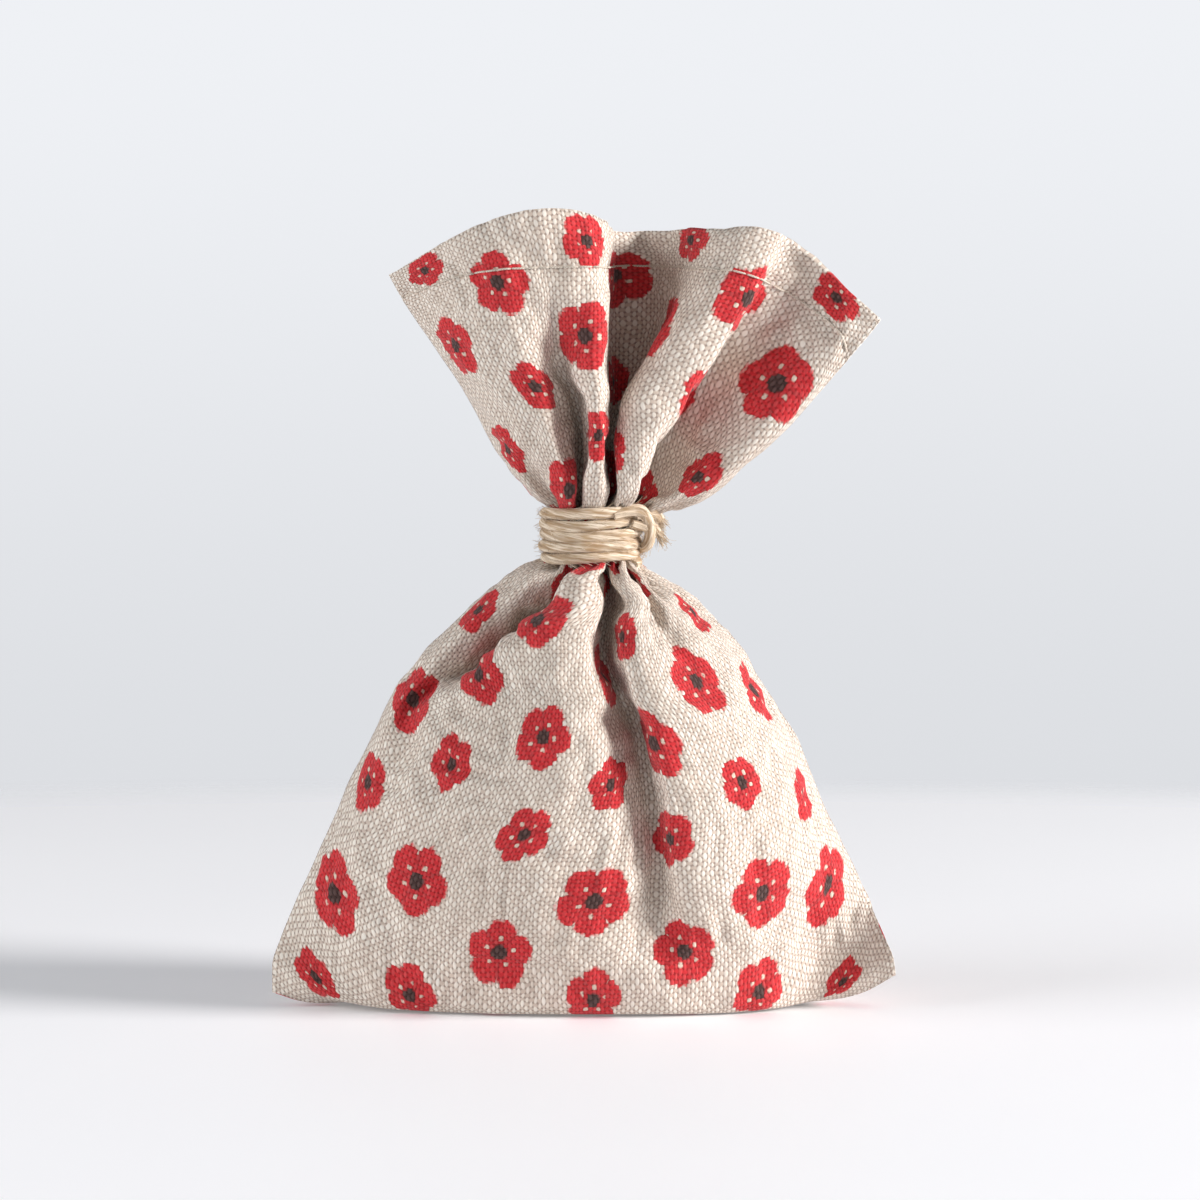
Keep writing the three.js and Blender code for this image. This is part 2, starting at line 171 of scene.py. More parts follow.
def meshObject(name, points, polygons, material):
    mesh = bpy.data.meshes.new(name)
    mesh.from_pydata([tuple(p) for p in points], [], polygons)
    mesh.materials.append(material)
    mesh.polygons.foreach_set("use_smooth", [True] * len(mesh.polygons))
    return linked(name, mesh)


def finalMesh(made):
    # the mesh of a piece with its modifiers applied
    return bpy.data.meshes.new_from_object(made.evaluated_get(bpy.context.evaluated_depsgraph_get()))


def gridFaces(index, flip):
    corners = (index[:-1, :-1], index[:-1, 1:], index[1:, 1:], index[1:, :-1])
    return np.stack(corners, axis=2).reshape(-1, 4)[:, ::flip].tolist()


# Camera and light

view = {"elevation": 6.0, "distance": 1.1, "aim": (1.6, -14.0, 71.2), "frameWidth": 203.4, "sensor": 36.0,
        "farthest": 20.0}


def makeCamera():
    camera = linked("camera", bpy.data.cameras.new("camera"))
    aim = Vector(view["aim"]) * mm
    rise = math.radians(view["elevation"])
    aimAt(camera, aim + view["distance"] * Vector((0, -math.cos(rise), math.sin(rise))), aim)
    camera.data.sensor_width = view["sensor"]
    camera.data.lens = view["sensor"] * view["distance"] / (view["frameWidth"] * mm)
    camera.data.clip_end = view["farthest"]
    scene.camera = camera


studio = {"middle": (0, 0, 60), "room": 0.13, "roomTint": (0.93, 0.96, 1.0, 1), "wallRise": (-0.14, -0.01),
          "wallLow": colour(221, 223, 227), "wallHigh": colour(239, 241, 245)}
lamps = {
    "key": {"power": 38.0, "size": 0.55, "toward": (1.0, -0.27, 0.32), "distance": 1.55,
            "tint": (1.0, 0.98, 0.965)},
    "bounce": {"power": 8.8, "size": 0.9, "toward": (-1.0, -0.38, 0.32), "distance": 1.1,
               "tint": (0.98, 0.99, 1.0)},
}


def makeLight():
    middle = Vector(studio["middle"]) * mm
    for name, lamp in lamps.items():
        light = bpy.data.lights.new(name, "AREA")
        light.shape = "DISK"
        light.size = lamp["size"]
        light.energy = lamp["power"]
        light.color = lamp["tint"]
        aimAt(linked(name, light), middle + Vector(lamp["toward"]).normalized() * lamp["distance"], middle)
    world = bpy.data.worlds.new("room")
    scene.world = world
    world.use_nodes = True
    world.node_tree.nodes.clear()
    graph = Graph(world.node_tree)
    # the wall is seen directly, in mirrors and through glass, and the soft room light reaches the rest
    kinds = ("Is Camera Ray", "Is Glossy Ray", "Is Transmission Ray")
    direct, mirrored, through = [graph.add("ShaderNodeLightPath", out=kind) for kind in kinds]
    seen = direct.larger(mirrored).larger(through)
    soft = graph.add("ShaderNodeBackground", {0: studio["roomTint"], 1: studio["room"]})
    _, _, rise = graph.add("ShaderNodeTexCoord", out="Generated").pieces()
    tone = graph.blend(rise.part(*studio["wallRise"]), studio["wallLow"], studio["wallHigh"])
    wall = graph.add("ShaderNodeBackground", {0: tone, 1: 1.0})
    shown = graph.add("ShaderNodeMixShader", {0: seen, 1: soft, 2: wall})
    graph.add("ShaderNodeOutputWorld", {"Surface": shown})


tableTop = {"middle": -0.5, "reach": 0.8, "rim": 0.05, "mottle": 9.0, "light": colour(246, 246, 249),
            "grey": colour(241, 241, 245), "glow": 0.11, "glowTint": (0.95, 0.97, 1.0, 1)}


def makeTable():
    # a pale round top that fades out at its rim
    material, graph = newMaterial("white_table")
    place = graph.place()
    mottle = graph.noise(place, tableTop["mottle"], 3.0)
    top = graph.blend(mottle.part(0.3, 0.7) * 0.35, tableTop["light"], tableTop["grey"])
    across, depth, _ = place.pieces()
    reach = tableTop["reach"]
    fade = graph.span(across, depth - tableTop["middle"]).part(reach, reach - tableTop["rim"])
    finishMaterial(graph, {"Base Color": top, "Roughness": 0.6, "Alpha": fade,
                           "Emission Color": tableTop["glowTint"], "Emission Strength": tableTop["glow"]})
    mesh = squareMesh("table", reach, tableTop["middle"])
    mesh.materials.append(material)
    table = linked("table", mesh)


makeCamera()
makeLight()
makeTable()
print("camera, light and table made")

# Canvas panels: sections of the folded cloth from the bottom seam to the hem, in mm

cloth = {"width": 116.0, "height": 158.0, "thick": 0.7, "hem": 9.0, "tieLow": 97.2, "tieHigh": 104.6,
         "baseRow": 14.0, "columns": 58, "rows": 79, "fineRows": 791, "drawnHalf": 56.0, "evenFrom": 26.0,
         "seamReach": 16.0}
tie = {"low": 77.2, "high": 84.6, "radius": 6.7}
half = cloth["width"] / 2


def pleats(*folds):
    # points under the tie: place across, angle and, where it differs, distance from the middle
    points = []
    for place, angle, radius in ((*fold, tie["radius"])[:3] for fold in folds):
        turn = math.radians(angle)
        points.append((place, radius * math.cos(turn), radius * math.sin(turn)))
    return points


frontNeck = pleats(
    (-56, 180), (-48, 195), (-45, 207), (-41, 212, 2.2), (-37, 219), (-33, 233), (-29, 247),
    (-24, 252, 1.5), (-19, 258), (-15, 274), (-11, 290), (-4, 297, 2.6))
frontNeck += [(2, 0.2, 1.0)]
frontNeck += pleats(
    (8, 304, 2.6), (15, 309), (19, 318), (24, 328), (30, 333, 2.2), (36, 340), (46, 350), (56, 360))
backNeck = pleats(
    (-56, 180), (-50, 172), (-45, 163), (-40, 158, 2.5), (-35, 152), (-30, 140), (-25, 130),
    (-20, 125, 2.6), (-15, 119), (-10, 108), (-5, 97), (0, 90, 3.6), (5, 83), (10, 70), (15, 58),
    (20, 53, 2.6), (25, 47), (30, 35), (35, 25), (40, 20, 2.5), (46, 13), (51, 6), (56, 0))

# each level: place up the cloth, height, points; a point is (x, y), (place across, x, y) or
# (place across, x, y, own height), and a place that is None or not given falls by length
bottomSeam = [
    (-56, -54.8, -4.8, 2.4), (-50, -49, -5.6, 0.8), (-42, -40.5, -3, 0.4), (0, 0, 0), (38, 36.5, -3),
    (48, 46, -8, 2.6), (56, 52.2, -11, 6.4)]
frontLevels = [
    (0, 0.4, bottomSeam),
    (14, 0.4, [
        (-56, -54.8, -4.2, 7), (-49, -48, -8.8, 4.4), (-40, -38.6, -11.2, 1.2), (-28, -27, -13),
        (0, 0, -15.5), (28, 27, -12.8), (38, 36.6, -8.2, 1.2), (47, 44.6, -9.6, 4.8),
        (56, 51.8, -11.2, 9.2)]),
    (24, 10, [
        (-56, -53.2, -2.4, 12), (-44, -42.5, -10.5), (-28, -27, -17), (0, 0, -22.5), (28, 27, -16.8),
        (43, 39.6, -7.8), (None, 44.6, -7.4, 10.8), (56, 50.2, -8.6, 13)]),
    (40.4, 26, [
        (-56, -46.8, -1), (-46, -41, -10), (-32, -28.6, -18), (-14, -12.5, -23.8), (0, -25.2), (5, -24.8),
        (8.2, -22.8), (11, 11.2, -19.2), (13.2, -21), (14.6, -24), (19, -24.6), (30, -19), (38.6, -11),
        (56, 44.1, 0)]),
    (49.4, 35, [
        (-56, -42.6, 0), (-38.6, -9), (-36, -29, -17), (-15, -22.8), (-2, -25), (3.4, -24.4), (6.4, -22),
        (9.5, 10, -17.4), (12.4, -20.6), (14.5, 13.6, -24), (17, -25), (27.6, -20), (36, -12),
        (56, 39.7, 0)]),
    (61, 46.5, [
        (-56, -37.2, 0), (-36, -5.4), (-34, -8.8), (-46, -32, -9.6), (-41, -28.4, -13.6), (-14, -21),
        (-3, -23.8), (1.6, -23.2), (4.8, -19.6), (8, 8, -13.8), (9.8, -18), (10.8, -21.6), (16, 12, -24),
        (15.6, -24.2), (23.6, -20), (31.4, -11.5), (56, 35, 0)]),
    (66.6, 52, [
        (-56, -35, 0), (-34.2, -4.4), (-32.6, -7), (-47.5, -30.6, -6.6), (-28.9, -10), (-41, -26.6, -12.8),
        (-19, -17.2), (-11, -20.6), (-3, -22.8), (0.8, -21.4), (3.8, -17), (7.5, 6.2, -11.4), (8, -15.8),
        (9.2, -19.8), (16.5, 10.4, -22.6), (14, -23.2), (20.6, -19.6), (28, -12), (56, 31.6, 0)]),
    (69.5, 54.8, [
        (-56, -33.4, 0), (-32.6, -4.4), (-30.8, -6.8), (-46, -27.6, -5.4), (-26.9, -8.6), (-26.2, -11.2),
        (-39, -24.4, -13.6), (-18, -17), (-11, -20), (-3.2, -22), (1.4, -21.4), (3.6, -17.4), (7, 4.9, -12),
        (6.6, -16), (7.5, -19.2), (16.5, 8.6, -21.6), (12.2, -22.2), (18.8, -18.8), (26.6, -11.4),
        (56, 29.6, 0)]),
    (72.5, 57.5, [
        (-56, -31.4, 0), (-30.6, -4), (-28.4, -6.8), (-24.4, -6.2), (-41, -20.6, -4), (-21.6, -8.8),
        (-22.3, -11), (-34.5, -21.2, -13.6), (-11, -19.4), (-3.4, -21.2), (0.4, -20.2), (2.5, -16),
        (6.5, 3.4, -10.6), (5.2, -14.6), (6.4, -18), (16.5, 7.6, -20.6), (11, -21.4), (15.8, -19),
        (19, -16.6), (25, -11), (56, 28, 0)]),
    (75.4, 60.3, [
        (-56, -29.2, 0), (-28.4, -4.2), (-26.4, -7.2), (-22.2, -6.6), (-18.8, -3.8), (-38, -16, -1.6),
        (-17.2, -7.6), (-18.9, -12), (-29.6, -18, -14.8), (-9.5, -19), (-3, -20.2), (-0.2, -18.8),
        (1.5, -14.2), (5.8, 2.2, -9), (4, -13), (5.4, -16.4), (16, 6.7, -19.3), (10, -20.3), (14.2, -17.8),
        (17.4, -15), (23.8, -9.6), (56, 27, 0)]),
    (78.3, 63, [
        (-56, -26.8, 0), (-26, -4.2), (-24, -7.4), (-19.8, -6.8), (-16, -3.4), (-35, -12.2, 0),
        (-13.6, -6.6), (-16, -12), (-25, -15.2, -15.2), (-8, -18.4), (-2.8, -19), (-0.3, -17.4), (1, -12.4),
        (5, 1.7, -7.2), (3.4, -11.4), (4.7, -14.8), (15.5, 5.9, -17.8), (9, -18.9), (12.6, -16.8),
        (31, 14.8, -14.2), (17.6, -13), (22.4, -7.5), (56, 25, 0)]),
    (82.4, 66.5, [
        (-56, -23.2, 0), (-22.3, -4.4), (-20.2, -7.6), (-16, -7), (-12, -3.4), (-30, -8, 0.6), (-9.4, -6),
        (-12.2, -11), (-20.5, -11.6, -14), (-6, -16.9), (-2.2, -17.2), (0.2, -15.4), (0.9, -10),
        (4, 1.5, -4.6), (3.1, -8.6), (4.5, -12.4), (15, 5.8, -15.6), (8.6, -16.4), (11, -13.8),
        (30.5, 12, -11.2), (14.8, -11), (19, -6.4), (56, 21.5, 0)]),
    (86.6, 70, [
        (-56, -19.2, 0), (-18.2, -4.4), (-15.8, -7.6), (-11, -7.4), (-6.6, -4.2), (-26, -3.6, 0.6),
        (-4.6, -4.8), (-6.7, -9.4), (-17, -6.2, -12.6), (-3.2, -15), (-0.4, -14.8), (-10, 1.5, -12.4),
        (1.7, -7.6), (2.5, 2, -2), (3.6, -5.8), (5.2, -9.6), (13.5, 6.6, -12.4), (8.6, -12.6), (9.8, -10),
        (29.5, 9.9, -7.4), (12, -8.4), (15.6, -5.6), (56, 18, 0)]),
    (91.6, 74.2, [
        (-56, -13.6, 0), (-12.8, -4), (-10.6, -6.8), (-7, -7.4), (-31, -3.8, -5), (-24.5, -1.4, 0),
        (-2.6, -4), (-4.4, -8.8), (-16, -4, -11.4), (-1.6, -12.6), (-11, 1.2, -10.8), (1.5, -5.4),
        (2, 1.4, 0.4), (2.6, -4), (14, 4, -9.6), (6, -10.4), (23, 7.6, -8.8), (7.2, -5), (29.5, 7, -4),
        (9.2, -6), (11, -4.4), (56, 12, 0)]),
    (cloth["tieLow"], tie["low"], frontNeck),
    (cloth["tieHigh"], tie["high"], frontNeck),
    (110, 90, [
        (-56, -12.4, 0), (-11.2, -4.6), (-42, -8, -3.8), (-6.8, -7.8), (-31, -3.2, -10.2), (-2.1, -6.2),
        (-23.5, -1.5, -1), (-1.1, -6), (-17, -0.4, -10), (1.6, -11), (-11, 3.4, -9.2), (3.4, -4),
        (1, 3.8, 2), (4.8, -3), (15, 4.4, -9.6), (6.2, -10.6), (21.5, 7.8, -9.2, 89.8),
        (None, 7.2, -5.4, 89.6), (29, 7.6, -1.6, 89), (None, 9.6, -4.6, 88), (None, 12.4, -6.8, 87),
        (None, 12.8, -4.4, 86.4), (56, 10.6, -1.6, 86.2)]),
    (117.3, 97, [
        (-56, -17.4, 0), (-14.6, -6.2), (-9, -10.2), (-33, -6.2, -11.4), (-4.3, -7.4), (-24, -1.6, 0.6),
        (-0.8, -5.6), (-17.5, 0.2, -11.6), (2, -12.8), (-11, 3.4, -10), (3.3, -4.5), (1.5, 4, 3), (5.4, -3),
        (15.5, 4.2, -10), (6.6, -12.2), (None, 8.8, -12.4, 96.6), (25, 10.4, -10.6, 96),
        (None, 9.8, -6, 95.6), (31.5, 10.6, 0.4, 94.8), (None, 13.8, -3, 92.8), (None, 17.6, -7.6, 90.8),
        (None, 19.2, -6.6, 89), (56, 17.6, -3.4, 87.2)]),
    (124.6, 104, [
        (-56, -21, 0.2), (-17, -7.4), (-12, -11.6), (-33, -8, -12.8), (-5.8, -8.6), (-24, -2.8, -1.2),
        (-1.7, -6.8), (-17.5, -0.3, -13), (1.8, -14.2), (-11.5, 3.2, -11), (2.9, -5), (1.5, 5, 3.6),
        (8, -1), (17, 5.2, -9), (7.6, -12.6), (11.6, -13.2), (28, 14.6, -11.6, 103),
        (None, 14.2, -7.2, 102.4), (34.5, 15, -0.6, 101.2), (None, 19.4, -4.4, 98.6),
        (None, 25.4, -9.2, 96.2), (None, 26.4, -8.4, 94.4), (56, 24.8, -6, 92.2)]),
    (133.9, 113, [
        (-56, -26.4, 0.3), (-21.5, -8.4), (-15.4, -12.6), (-32, -11.4, -13.8), (-8.8, -12.4),
        (-23, -5.6, -8.8), (-2.9, -12), (-15.5, -0.1, -14.6), (2.2, -13.6), (-10.5, 2.9, -10), (2.6, -4),
        (4.2, 4), (3, 7.4, 6), (11, 3), (11.8, -3), (19, 10, -8.4), (12.6, -12.4), (17, -13.4),
        (31, 20.8, -12, 112.2), (None, 20.6, -8, 111.6), (37, 21.6, -3, 110.6), (None, 26.4, -6.2, 108),
        (None, 32.6, -10.2, 105), (None, 34.4, -10.2, 102.6), (56, 33, -8.4, 99.4)]),
    (146.3, 125, [
        (-56, -31.5, 0.2, 121), (None, -22.5, -9.6, 124), (-15, -13.8), (-27, -9.6, -14), (-22, -6, -13.8),
        (-2.6, -14.4), (0.8, -13.4), (-10.5, 2.8, -9.8), (2.8, -4), (4.2, 5), (3, 7.8, 7.6), (12, 5.4),
        (15.2, -1.2), (21, 18, -8.4), (22.4, -12.4), (32.5, 27.2, -11.6, 123.4), (None, 28.8, -7.6, 122.4),
        (None, 32.4, -6.2, 120.6), (None, 37.6, -8.4, 117.6), (None, 41.4, -10.6, 114),
        (56, 42, -9.6, 109.8)]),
    (cloth["height"], 133, [
        (-56, -34.2, -0.5, 126.2), (None, -26.4, -8, 131), (None, -18.4, -12.2, 135.2),
        (-25, -10.6, -14.2, 137.4), (None, -4, -13.8, 137.6), (None, 0.4, -11.8, 136.6),
        (-10, 2.8, -8.2, 135.2), (None, 3.3, -2.6, 133.8), (1, 4.8, 4.8), (8.4, 8), (None, 13, 5.6, 133.2),
        (None, 17.4, -0.6, 133.8), (21.5, 21.4, -6.4, 134), (None, 26.6, -9.6, 134.6),
        (32, 31.4, -9.8, 133.4), (None, 34.2, -7.4, 131.6), (None, 39.4, -7.8, 127.4),
        (None, 44.8, -10.2, 122.6), (56, 49.3, -10.4, 118.5)]),
]
backLevels = [
    (0, 0.4, bottomSeam),
    (14, 0.4, [
        (-56, -54.8, -4.2, 7), (-48, -47, 2, 3.2), (-40, -38.4, 6.4, 0.8), (-28, -27, 11), (0, 0, 15),
        (28, 27, 11), (40, 38.4, 4.6, 1), (48, 46, -2.4, 4.2), (56, 51.8, -11.2, 9.2)]),
    (24, 10, [(-56, -53.2, -2.4, 12), (-36, -35, 13), (0, 0, 22), (36, 34.5, 12.6), (56, 50.2, -8.6, 13)]),
    (40.4, 26, [
        (-56, -46.8, -1), (-40, -36, 14), (-20, -18, 22), (0, 0, 25), (20, 18, 22.3), (40, 35, 14),
        (56, 44.1, 0)]),
    (52.4, 38, [
        (-56, -41.4, 0), (-35.4, 11.6), (-38, -28, 17), (-20, 20.6), (-17, -13, 21.6), (-4, 24.4),
        (2, 2.4, 22.6), (8, 24.2), (17, 14.6, 21.4), (22, 20.6), (30.6, 15), (56, 38.6, 0)]),
    (66.6, 52, [
        (-56, -35, 0), (-31.4, 8), (-44, -25, 13.8), (-20.4, 15), (-37, -18.4, 14), (-16, 17.4),
        (-12, 19.4), (-19, -8.4, 16.6), (-6.4, 20), (-1, 22.2), (1.5, 3, 18), (5.4, 21.2), (10.2, 20.8),
        (17.5, 13.2, 16.6), (16.6, 19), (21.4, 17.2), (37, 24.6, 12.6), (28, 11), (56, 31.6, 0)]),
    (78.3, 63, [
        (-56, -26.8, 0), (-24.8, 6), (-47, -20.6, 11), (-16.8, 10.4), (-39, -12.6, 7.4), (-13.2, 12),
        (-31, -12, 15), (-9, 15.8), (-20.5, -5.4, 9), (-5.6, 14.6), (-11, -3.8, 18), (0, 18.6),
        (0.5, 2.2, 11.6), (3.6, 16.6), (9, 6, 18), (9.2, 16.4), (19.5, 9.2, 9.4), (12.2, 13.6),
        (29, 15, 14.6), (17.8, 11.6), (39.5, 16.6, 7), (20.4, 8.6), (48, 23.4, 6.4), (56, 25, 0)]),
    (86.6, 70, [
        (-56, -19.2, 0), (-18, 4.8), (-48, -15.2, 8.2), (-12, 6.8), (-40, -7.4, 3.4), (-9.2, 8.6),
        (-31, -8.6, 11.6), (-6, 12), (-20.5, -2.6, 4), (-3.6, 10.4), (-11, -2.4, 14), (0.4, 14),
        (0, 0.6, 6), (2.6, 12), (9, 4.4, 13.6), (6.6, 12), (20, 4.6, 4.4), (8.4, 9.6), (29, 10.6, 11),
        (12.6, 9), (40, 9, 2.8), (13.4, 6.6), (48, 15.6, 7), (17.6, 4), (56, 18, 0)]),
    (91.6, 74.2, [
        (-56, -13.6, 0), (-12.8, 3.4), (-48, -10.6, 6), (-40, -4.4, 2.6), (-6.6, 6.4), (-31, -6, 8.8),
        (-4, 9), (-20.5, -1.8, 3), (-2.6, 8), (-11, -1.6, 10.2), (0.6, 10), (0, 0.4, 4), (2, 8.6),
        (9, 3.6, 9.6), (5, 8.4), (20, 2.6, 3), (6, 6.8), (29, 7.6, 7.4), (8.8, 5.8), (40, 5.2, 1.8),
        (9.4, 4.2), (11, 2.6), (56, 11.4, 0)]),
    (cloth["tieLow"], tie["low"], backNeck),
    (cloth["tieHigh"], tie["high"], backNeck),
    (110, 90, [
        (-56, -12.4, 0), (-11.8, 4), (-48, -10, 6.4), (-40, -5, 3), (-7, 7.6), (-30, -5.4, 9.4),
        (-20, -2, 4), (-2.6, 8.6), (-10, -1.2, 10.4), (0, 1, 5), (2.6, 9.8), (10, 4.4, 10), (20, 3.4, 4),
        (7, 7.6), (30, 8.8, 7.4), (40, 7.6, 2.6, 88), (None, 10.6, 4.6, 87), (56, 10, -1, 86.2)]),
    (120.5, 100, [
        (-56, -18.4, 0), (-15.6, 5.6), (-45, -12.4, 9), (-39, -9.2, 6.4), (-9, 10), (-29, -7.2, 12),
        (-20, -3.4, 6.6), (-3.4, 11), (-10, -1, 13.4), (0, 2.6, 7.6), (4.6, 12.4), (10, 7.6, 13.4),
        (20, 8.6, 7), (12, 11), (30, 15.6, 11, 98.5), (39, 16.2, 6.4, 95.5), (None, 19.4, 5, 92),
        (56, 20.4, -4.4, 88.4)]),
    (130.8, 110, [
        (-56, -24.6, 0.3), (-20.4, 8), (-42, -15.6, 12.2), (-37, -13, 11), (-10.4, 14), (-27, -7.4, 14.8),
        (-19.5, -4, 10.6), (-1.8, 14.6), (-9, 1.4, 16), (0.5, 5.4, 11.4), (8.6, 15.4), (10.5, 12.4, 15.4),
        (19.5, 15, 10.6), (19, 14), (30, 23.4, 13.2, 108.5), (38, 25.4, 9, 105), (None, 27.4, 5, 101),
        (56, 29, -6, 96.4)]),
    (141, 119, [
        (-56, -29.4, 0.2), (-24, 9), (-16, 14.6), (-28, -9.6, 15.2), (-19.5, -4.6, 13), (1, 17),
        (1, 7.4, 14.4), (13.4, 17), (19.5, 19.4, 13.6), (None, 26, 15.4, 118), (38, 31, 10, 114),
        (None, 34.6, 4, 110), (56, 37, -7, 105)]),
    (cloth["height"], 130, [
        (-56, -34.2, -0.5, 126.2), (None, -27.5, 10, 127.5), (None, -19.5, 16.5, 129), (-9, 18.5), (2, 18),
        (10.5, 15.4), (None, 19, 15.5, 129.5), (None, 28, 16, 128.5), (None, 37, 10, 125.6),
        (None, 44.6, 0, 121.6), (56, 49.3, -10.4, 118.5)]),
]

spanSteps = 60


def lengthAlong(points):
    return np.concatenate([[0], np.cumsum(np.linalg.norm(np.diff(points, axis=0), axis=1))])


def pointsAt(places, along, points):
    return np.stack([np.interp(places, along, values) for values in points.T], axis=1)


def smoothCurve(points):
    # centripetal curve through the points, with the same number of steps between neighbours
    padded = np.vstack([2 * points[0] - points[1], points, 2 * points[-1] - points[-2]])
    runs = []
    for i in range(1, len(padded) - 2):
        p = padded[i - 1:i + 3]
        gaps = np.maximum(np.linalg.norm(np.diff(p, axis=0), axis=1), 1e-6) ** 0.5
        k = np.concatenate([[0], np.cumsum(gaps)])
        t = np.linspace(k[1], k[2], spanSteps, endpoint=False)[:, None]
        a = [((k[j + 1] - t) * p[j] + (t - k[j]) * p[j + 1]) / (k[j + 1] - k[j]) for j in range(3)]
        b = [((k[j + 2] - t) * a[j] + (t - k[j]) * a[j + 1]) / (k[j + 2] - k[j]) for j in range(2)]
        runs.append(((k[2] - t) * b[0] + (t - k[1]) * b[1]) / (k[2] - k[1]))
    runs.append(padded[-2][None])
    return np.vstack(runs)


def sectionAt(level, places):
    _, height, drawn = level
    points = [(None, *p) if len(p) == 2 else p for p in drawn]
    given = [i for i, p in enumerate(points) if p[0] is not None]
    fine = smoothCurve(np.array([(p[1], p[2], p[3] if len(p) > 3 else height) for p in points], float))
    along = lengthAlong(fine)
    fixed = [points[i][0] * half / cloth["drawnHalf"] for i in given]
    return pointsAt(places, np.interp(along, along[::spanSteps][given], fixed), fine)


def easeThrough(knots, values, places):
    # smooth rise and fall through the values without overshoot
    gaps = np.diff(knots)
    column = (-1,) + (1,) * (values.ndim - 1)
    slopes = np.diff(values, axis=0) / gaps.reshape(column)
    w1 = (2 * gaps[1:] + gaps[:-1]).reshape(column)
    w2 = (gaps[1:] + 2 * gaps[:-1]).reshape(column)
    rates = np.zeros_like(values)
    with np.errstate(divide="ignore", invalid="ignore"):
        shared = (w1 + w2) / (w1 / slopes[:-1] + w2 / slopes[1:])
    rates[1:-1] = np.where(slopes[:-1] * slopes[1:] > 0, shared, 0)
    rates[0], rates[-1] = slopes[0], slopes[-1]
    i = np.clip(np.searchsorted(knots, places, side="right") - 1, 0, len(knots) - 2)
    t = ((places - knots[i]) / gaps[i]).reshape(column)
    h = gaps[i].reshape(column)
    low = (2 * t**3 - 3 * t**2 + 1) * values[i] + (t**3 - 2 * t**2 + t) * h * rates[i]
    high = (3 * t**2 - 2 * t**3) * values[i + 1] + (t**3 - t**2) * h * rates[i + 1]
    return low + high


def evenAlong(sheet, fine, place, rises):
    # towards the sides no cloth goes under the base, so it is spread evenly from the bottom seam to the tie
    share = np.clip((abs(place) - cloth["evenFrom"]) / (half - cloth["evenFrom"]), 0, 1)
    low = fine <= cloth["tieLow"]
    along = lengthAlong(sheet)
    even = np.interp(along[low][-1] * rises / fine[low][-1], along, fine)
    drawn = np.where(rises < cloth["tieLow"], rises + share * (even - rises), rises)
    return pointsAt(drawn, fine, sheet)


def foldedPanels(places, rises):
    panels = []
    fine = np.linspace(0, cloth["height"], cloth["fineRows"])
    for levels in (frontLevels, backLevels):
        sections = np.stack([sectionAt(level, places) for level in levels])
        sheet = easeThrough(np.array([level[0] for level in levels], float), sections, fine)
        columns = [evenAlong(sheet[:, j], fine, place, rises) for j, place in enumerate(places)]
        panels.append(np.stack(columns, axis=1))
    for edge in (0, -1):
        # near a side seam the back panel leads to the front panel's edge
        share = np.clip(1 - np.abs(places - places[edge]) / cloth["seamReach"], 0, 1) ** 2
        panels[1] += share[None, :, None] * (panels[0][:, edge] - panels[1][:, edge])[:, None]
    return panels


def sewBag():
    # one mesh of both panels, joined at the side and bottom seams
    n, m = cloth["columns"], cloth["rows"]
    places = np.linspace(-half, half, n + 1)
    rises = np.linspace(0, cloth["height"], m + 1)
    flat = np.stack(np.broadcast_arrays(places[None, :], 0.0, rises[:, None]), axis=2)
    front, back = foldedPanels(places, rises)
    index = np.arange((m + 1) * (n + 1)).reshape(m + 1, n + 1)
    inner = np.full((m + 1, n + 1), -1)
    inner[1:, 1:-1] = index.size + np.arange(m * (n - 1)).reshape(m, n - 1)
    seam = inner < 0
    backIndex = np.where(seam, index, inner)
    start = np.zeros((index.size + m * (n - 1), 3))
    rest = np.zeros_like(start)
    start[index] = front
    start[backIndex[~seam]] = back[~seam]
    start[index[seam]] = (front[seam] + back[seam]) / 2
    rest[index] = flat
    rest[backIndex] = flat
    return start, rest, gridFaces(index, 1) + gridFaces(backIndex, -1), (index, backIndex), rises


# Cloth settings: the folded start shape holds the cloth softly, so that it settles without losing its folds
settle = {
    "frames": 24, "unit": 0.1, "gravity": 0.03, "ground": 40.0, "groundSkin": 0.02, "tieMargin": 0.1,
    "hold": {"tie": 1.0, "hem": 0.4, "head": 0.35, "base": 1.0, "sack": 0.3, "seam": 0.4},
    "make": {"quality": 6, "mass": 0.15, "tension_stiffness": 40.0, "compression_stiffness": 3.0,
             "shear_stiffness": 20.0, "bending_stiffness": 20.0, "tension_damping": 20.0,
             "compression_damping": 20.0, "shear_damping": 15.0, "bending_damping": 3.0, "air_damping": 4.0,
             "vertex_group_mass": "hold"},
    "touch": {"distance_min": 0.03, "use_self_collision": True, "self_distance_min": 0.05,
              "collision_quality": 3, "self_friction": 10.0},
}


def holdAt(rise):
    if cloth["tieLow"] - settle["tieMargin"] <= rise <= cloth["tieHigh"] + settle["tieMargin"]:
        return settle["hold"]["tie"]
    if rise > cloth["tieHigh"]:
        return settle["hold"]["hem" if rise >= cloth["height"] else "head"]
    return settle["hold"]["base" if rise <= cloth["baseRow"] else "sack"]


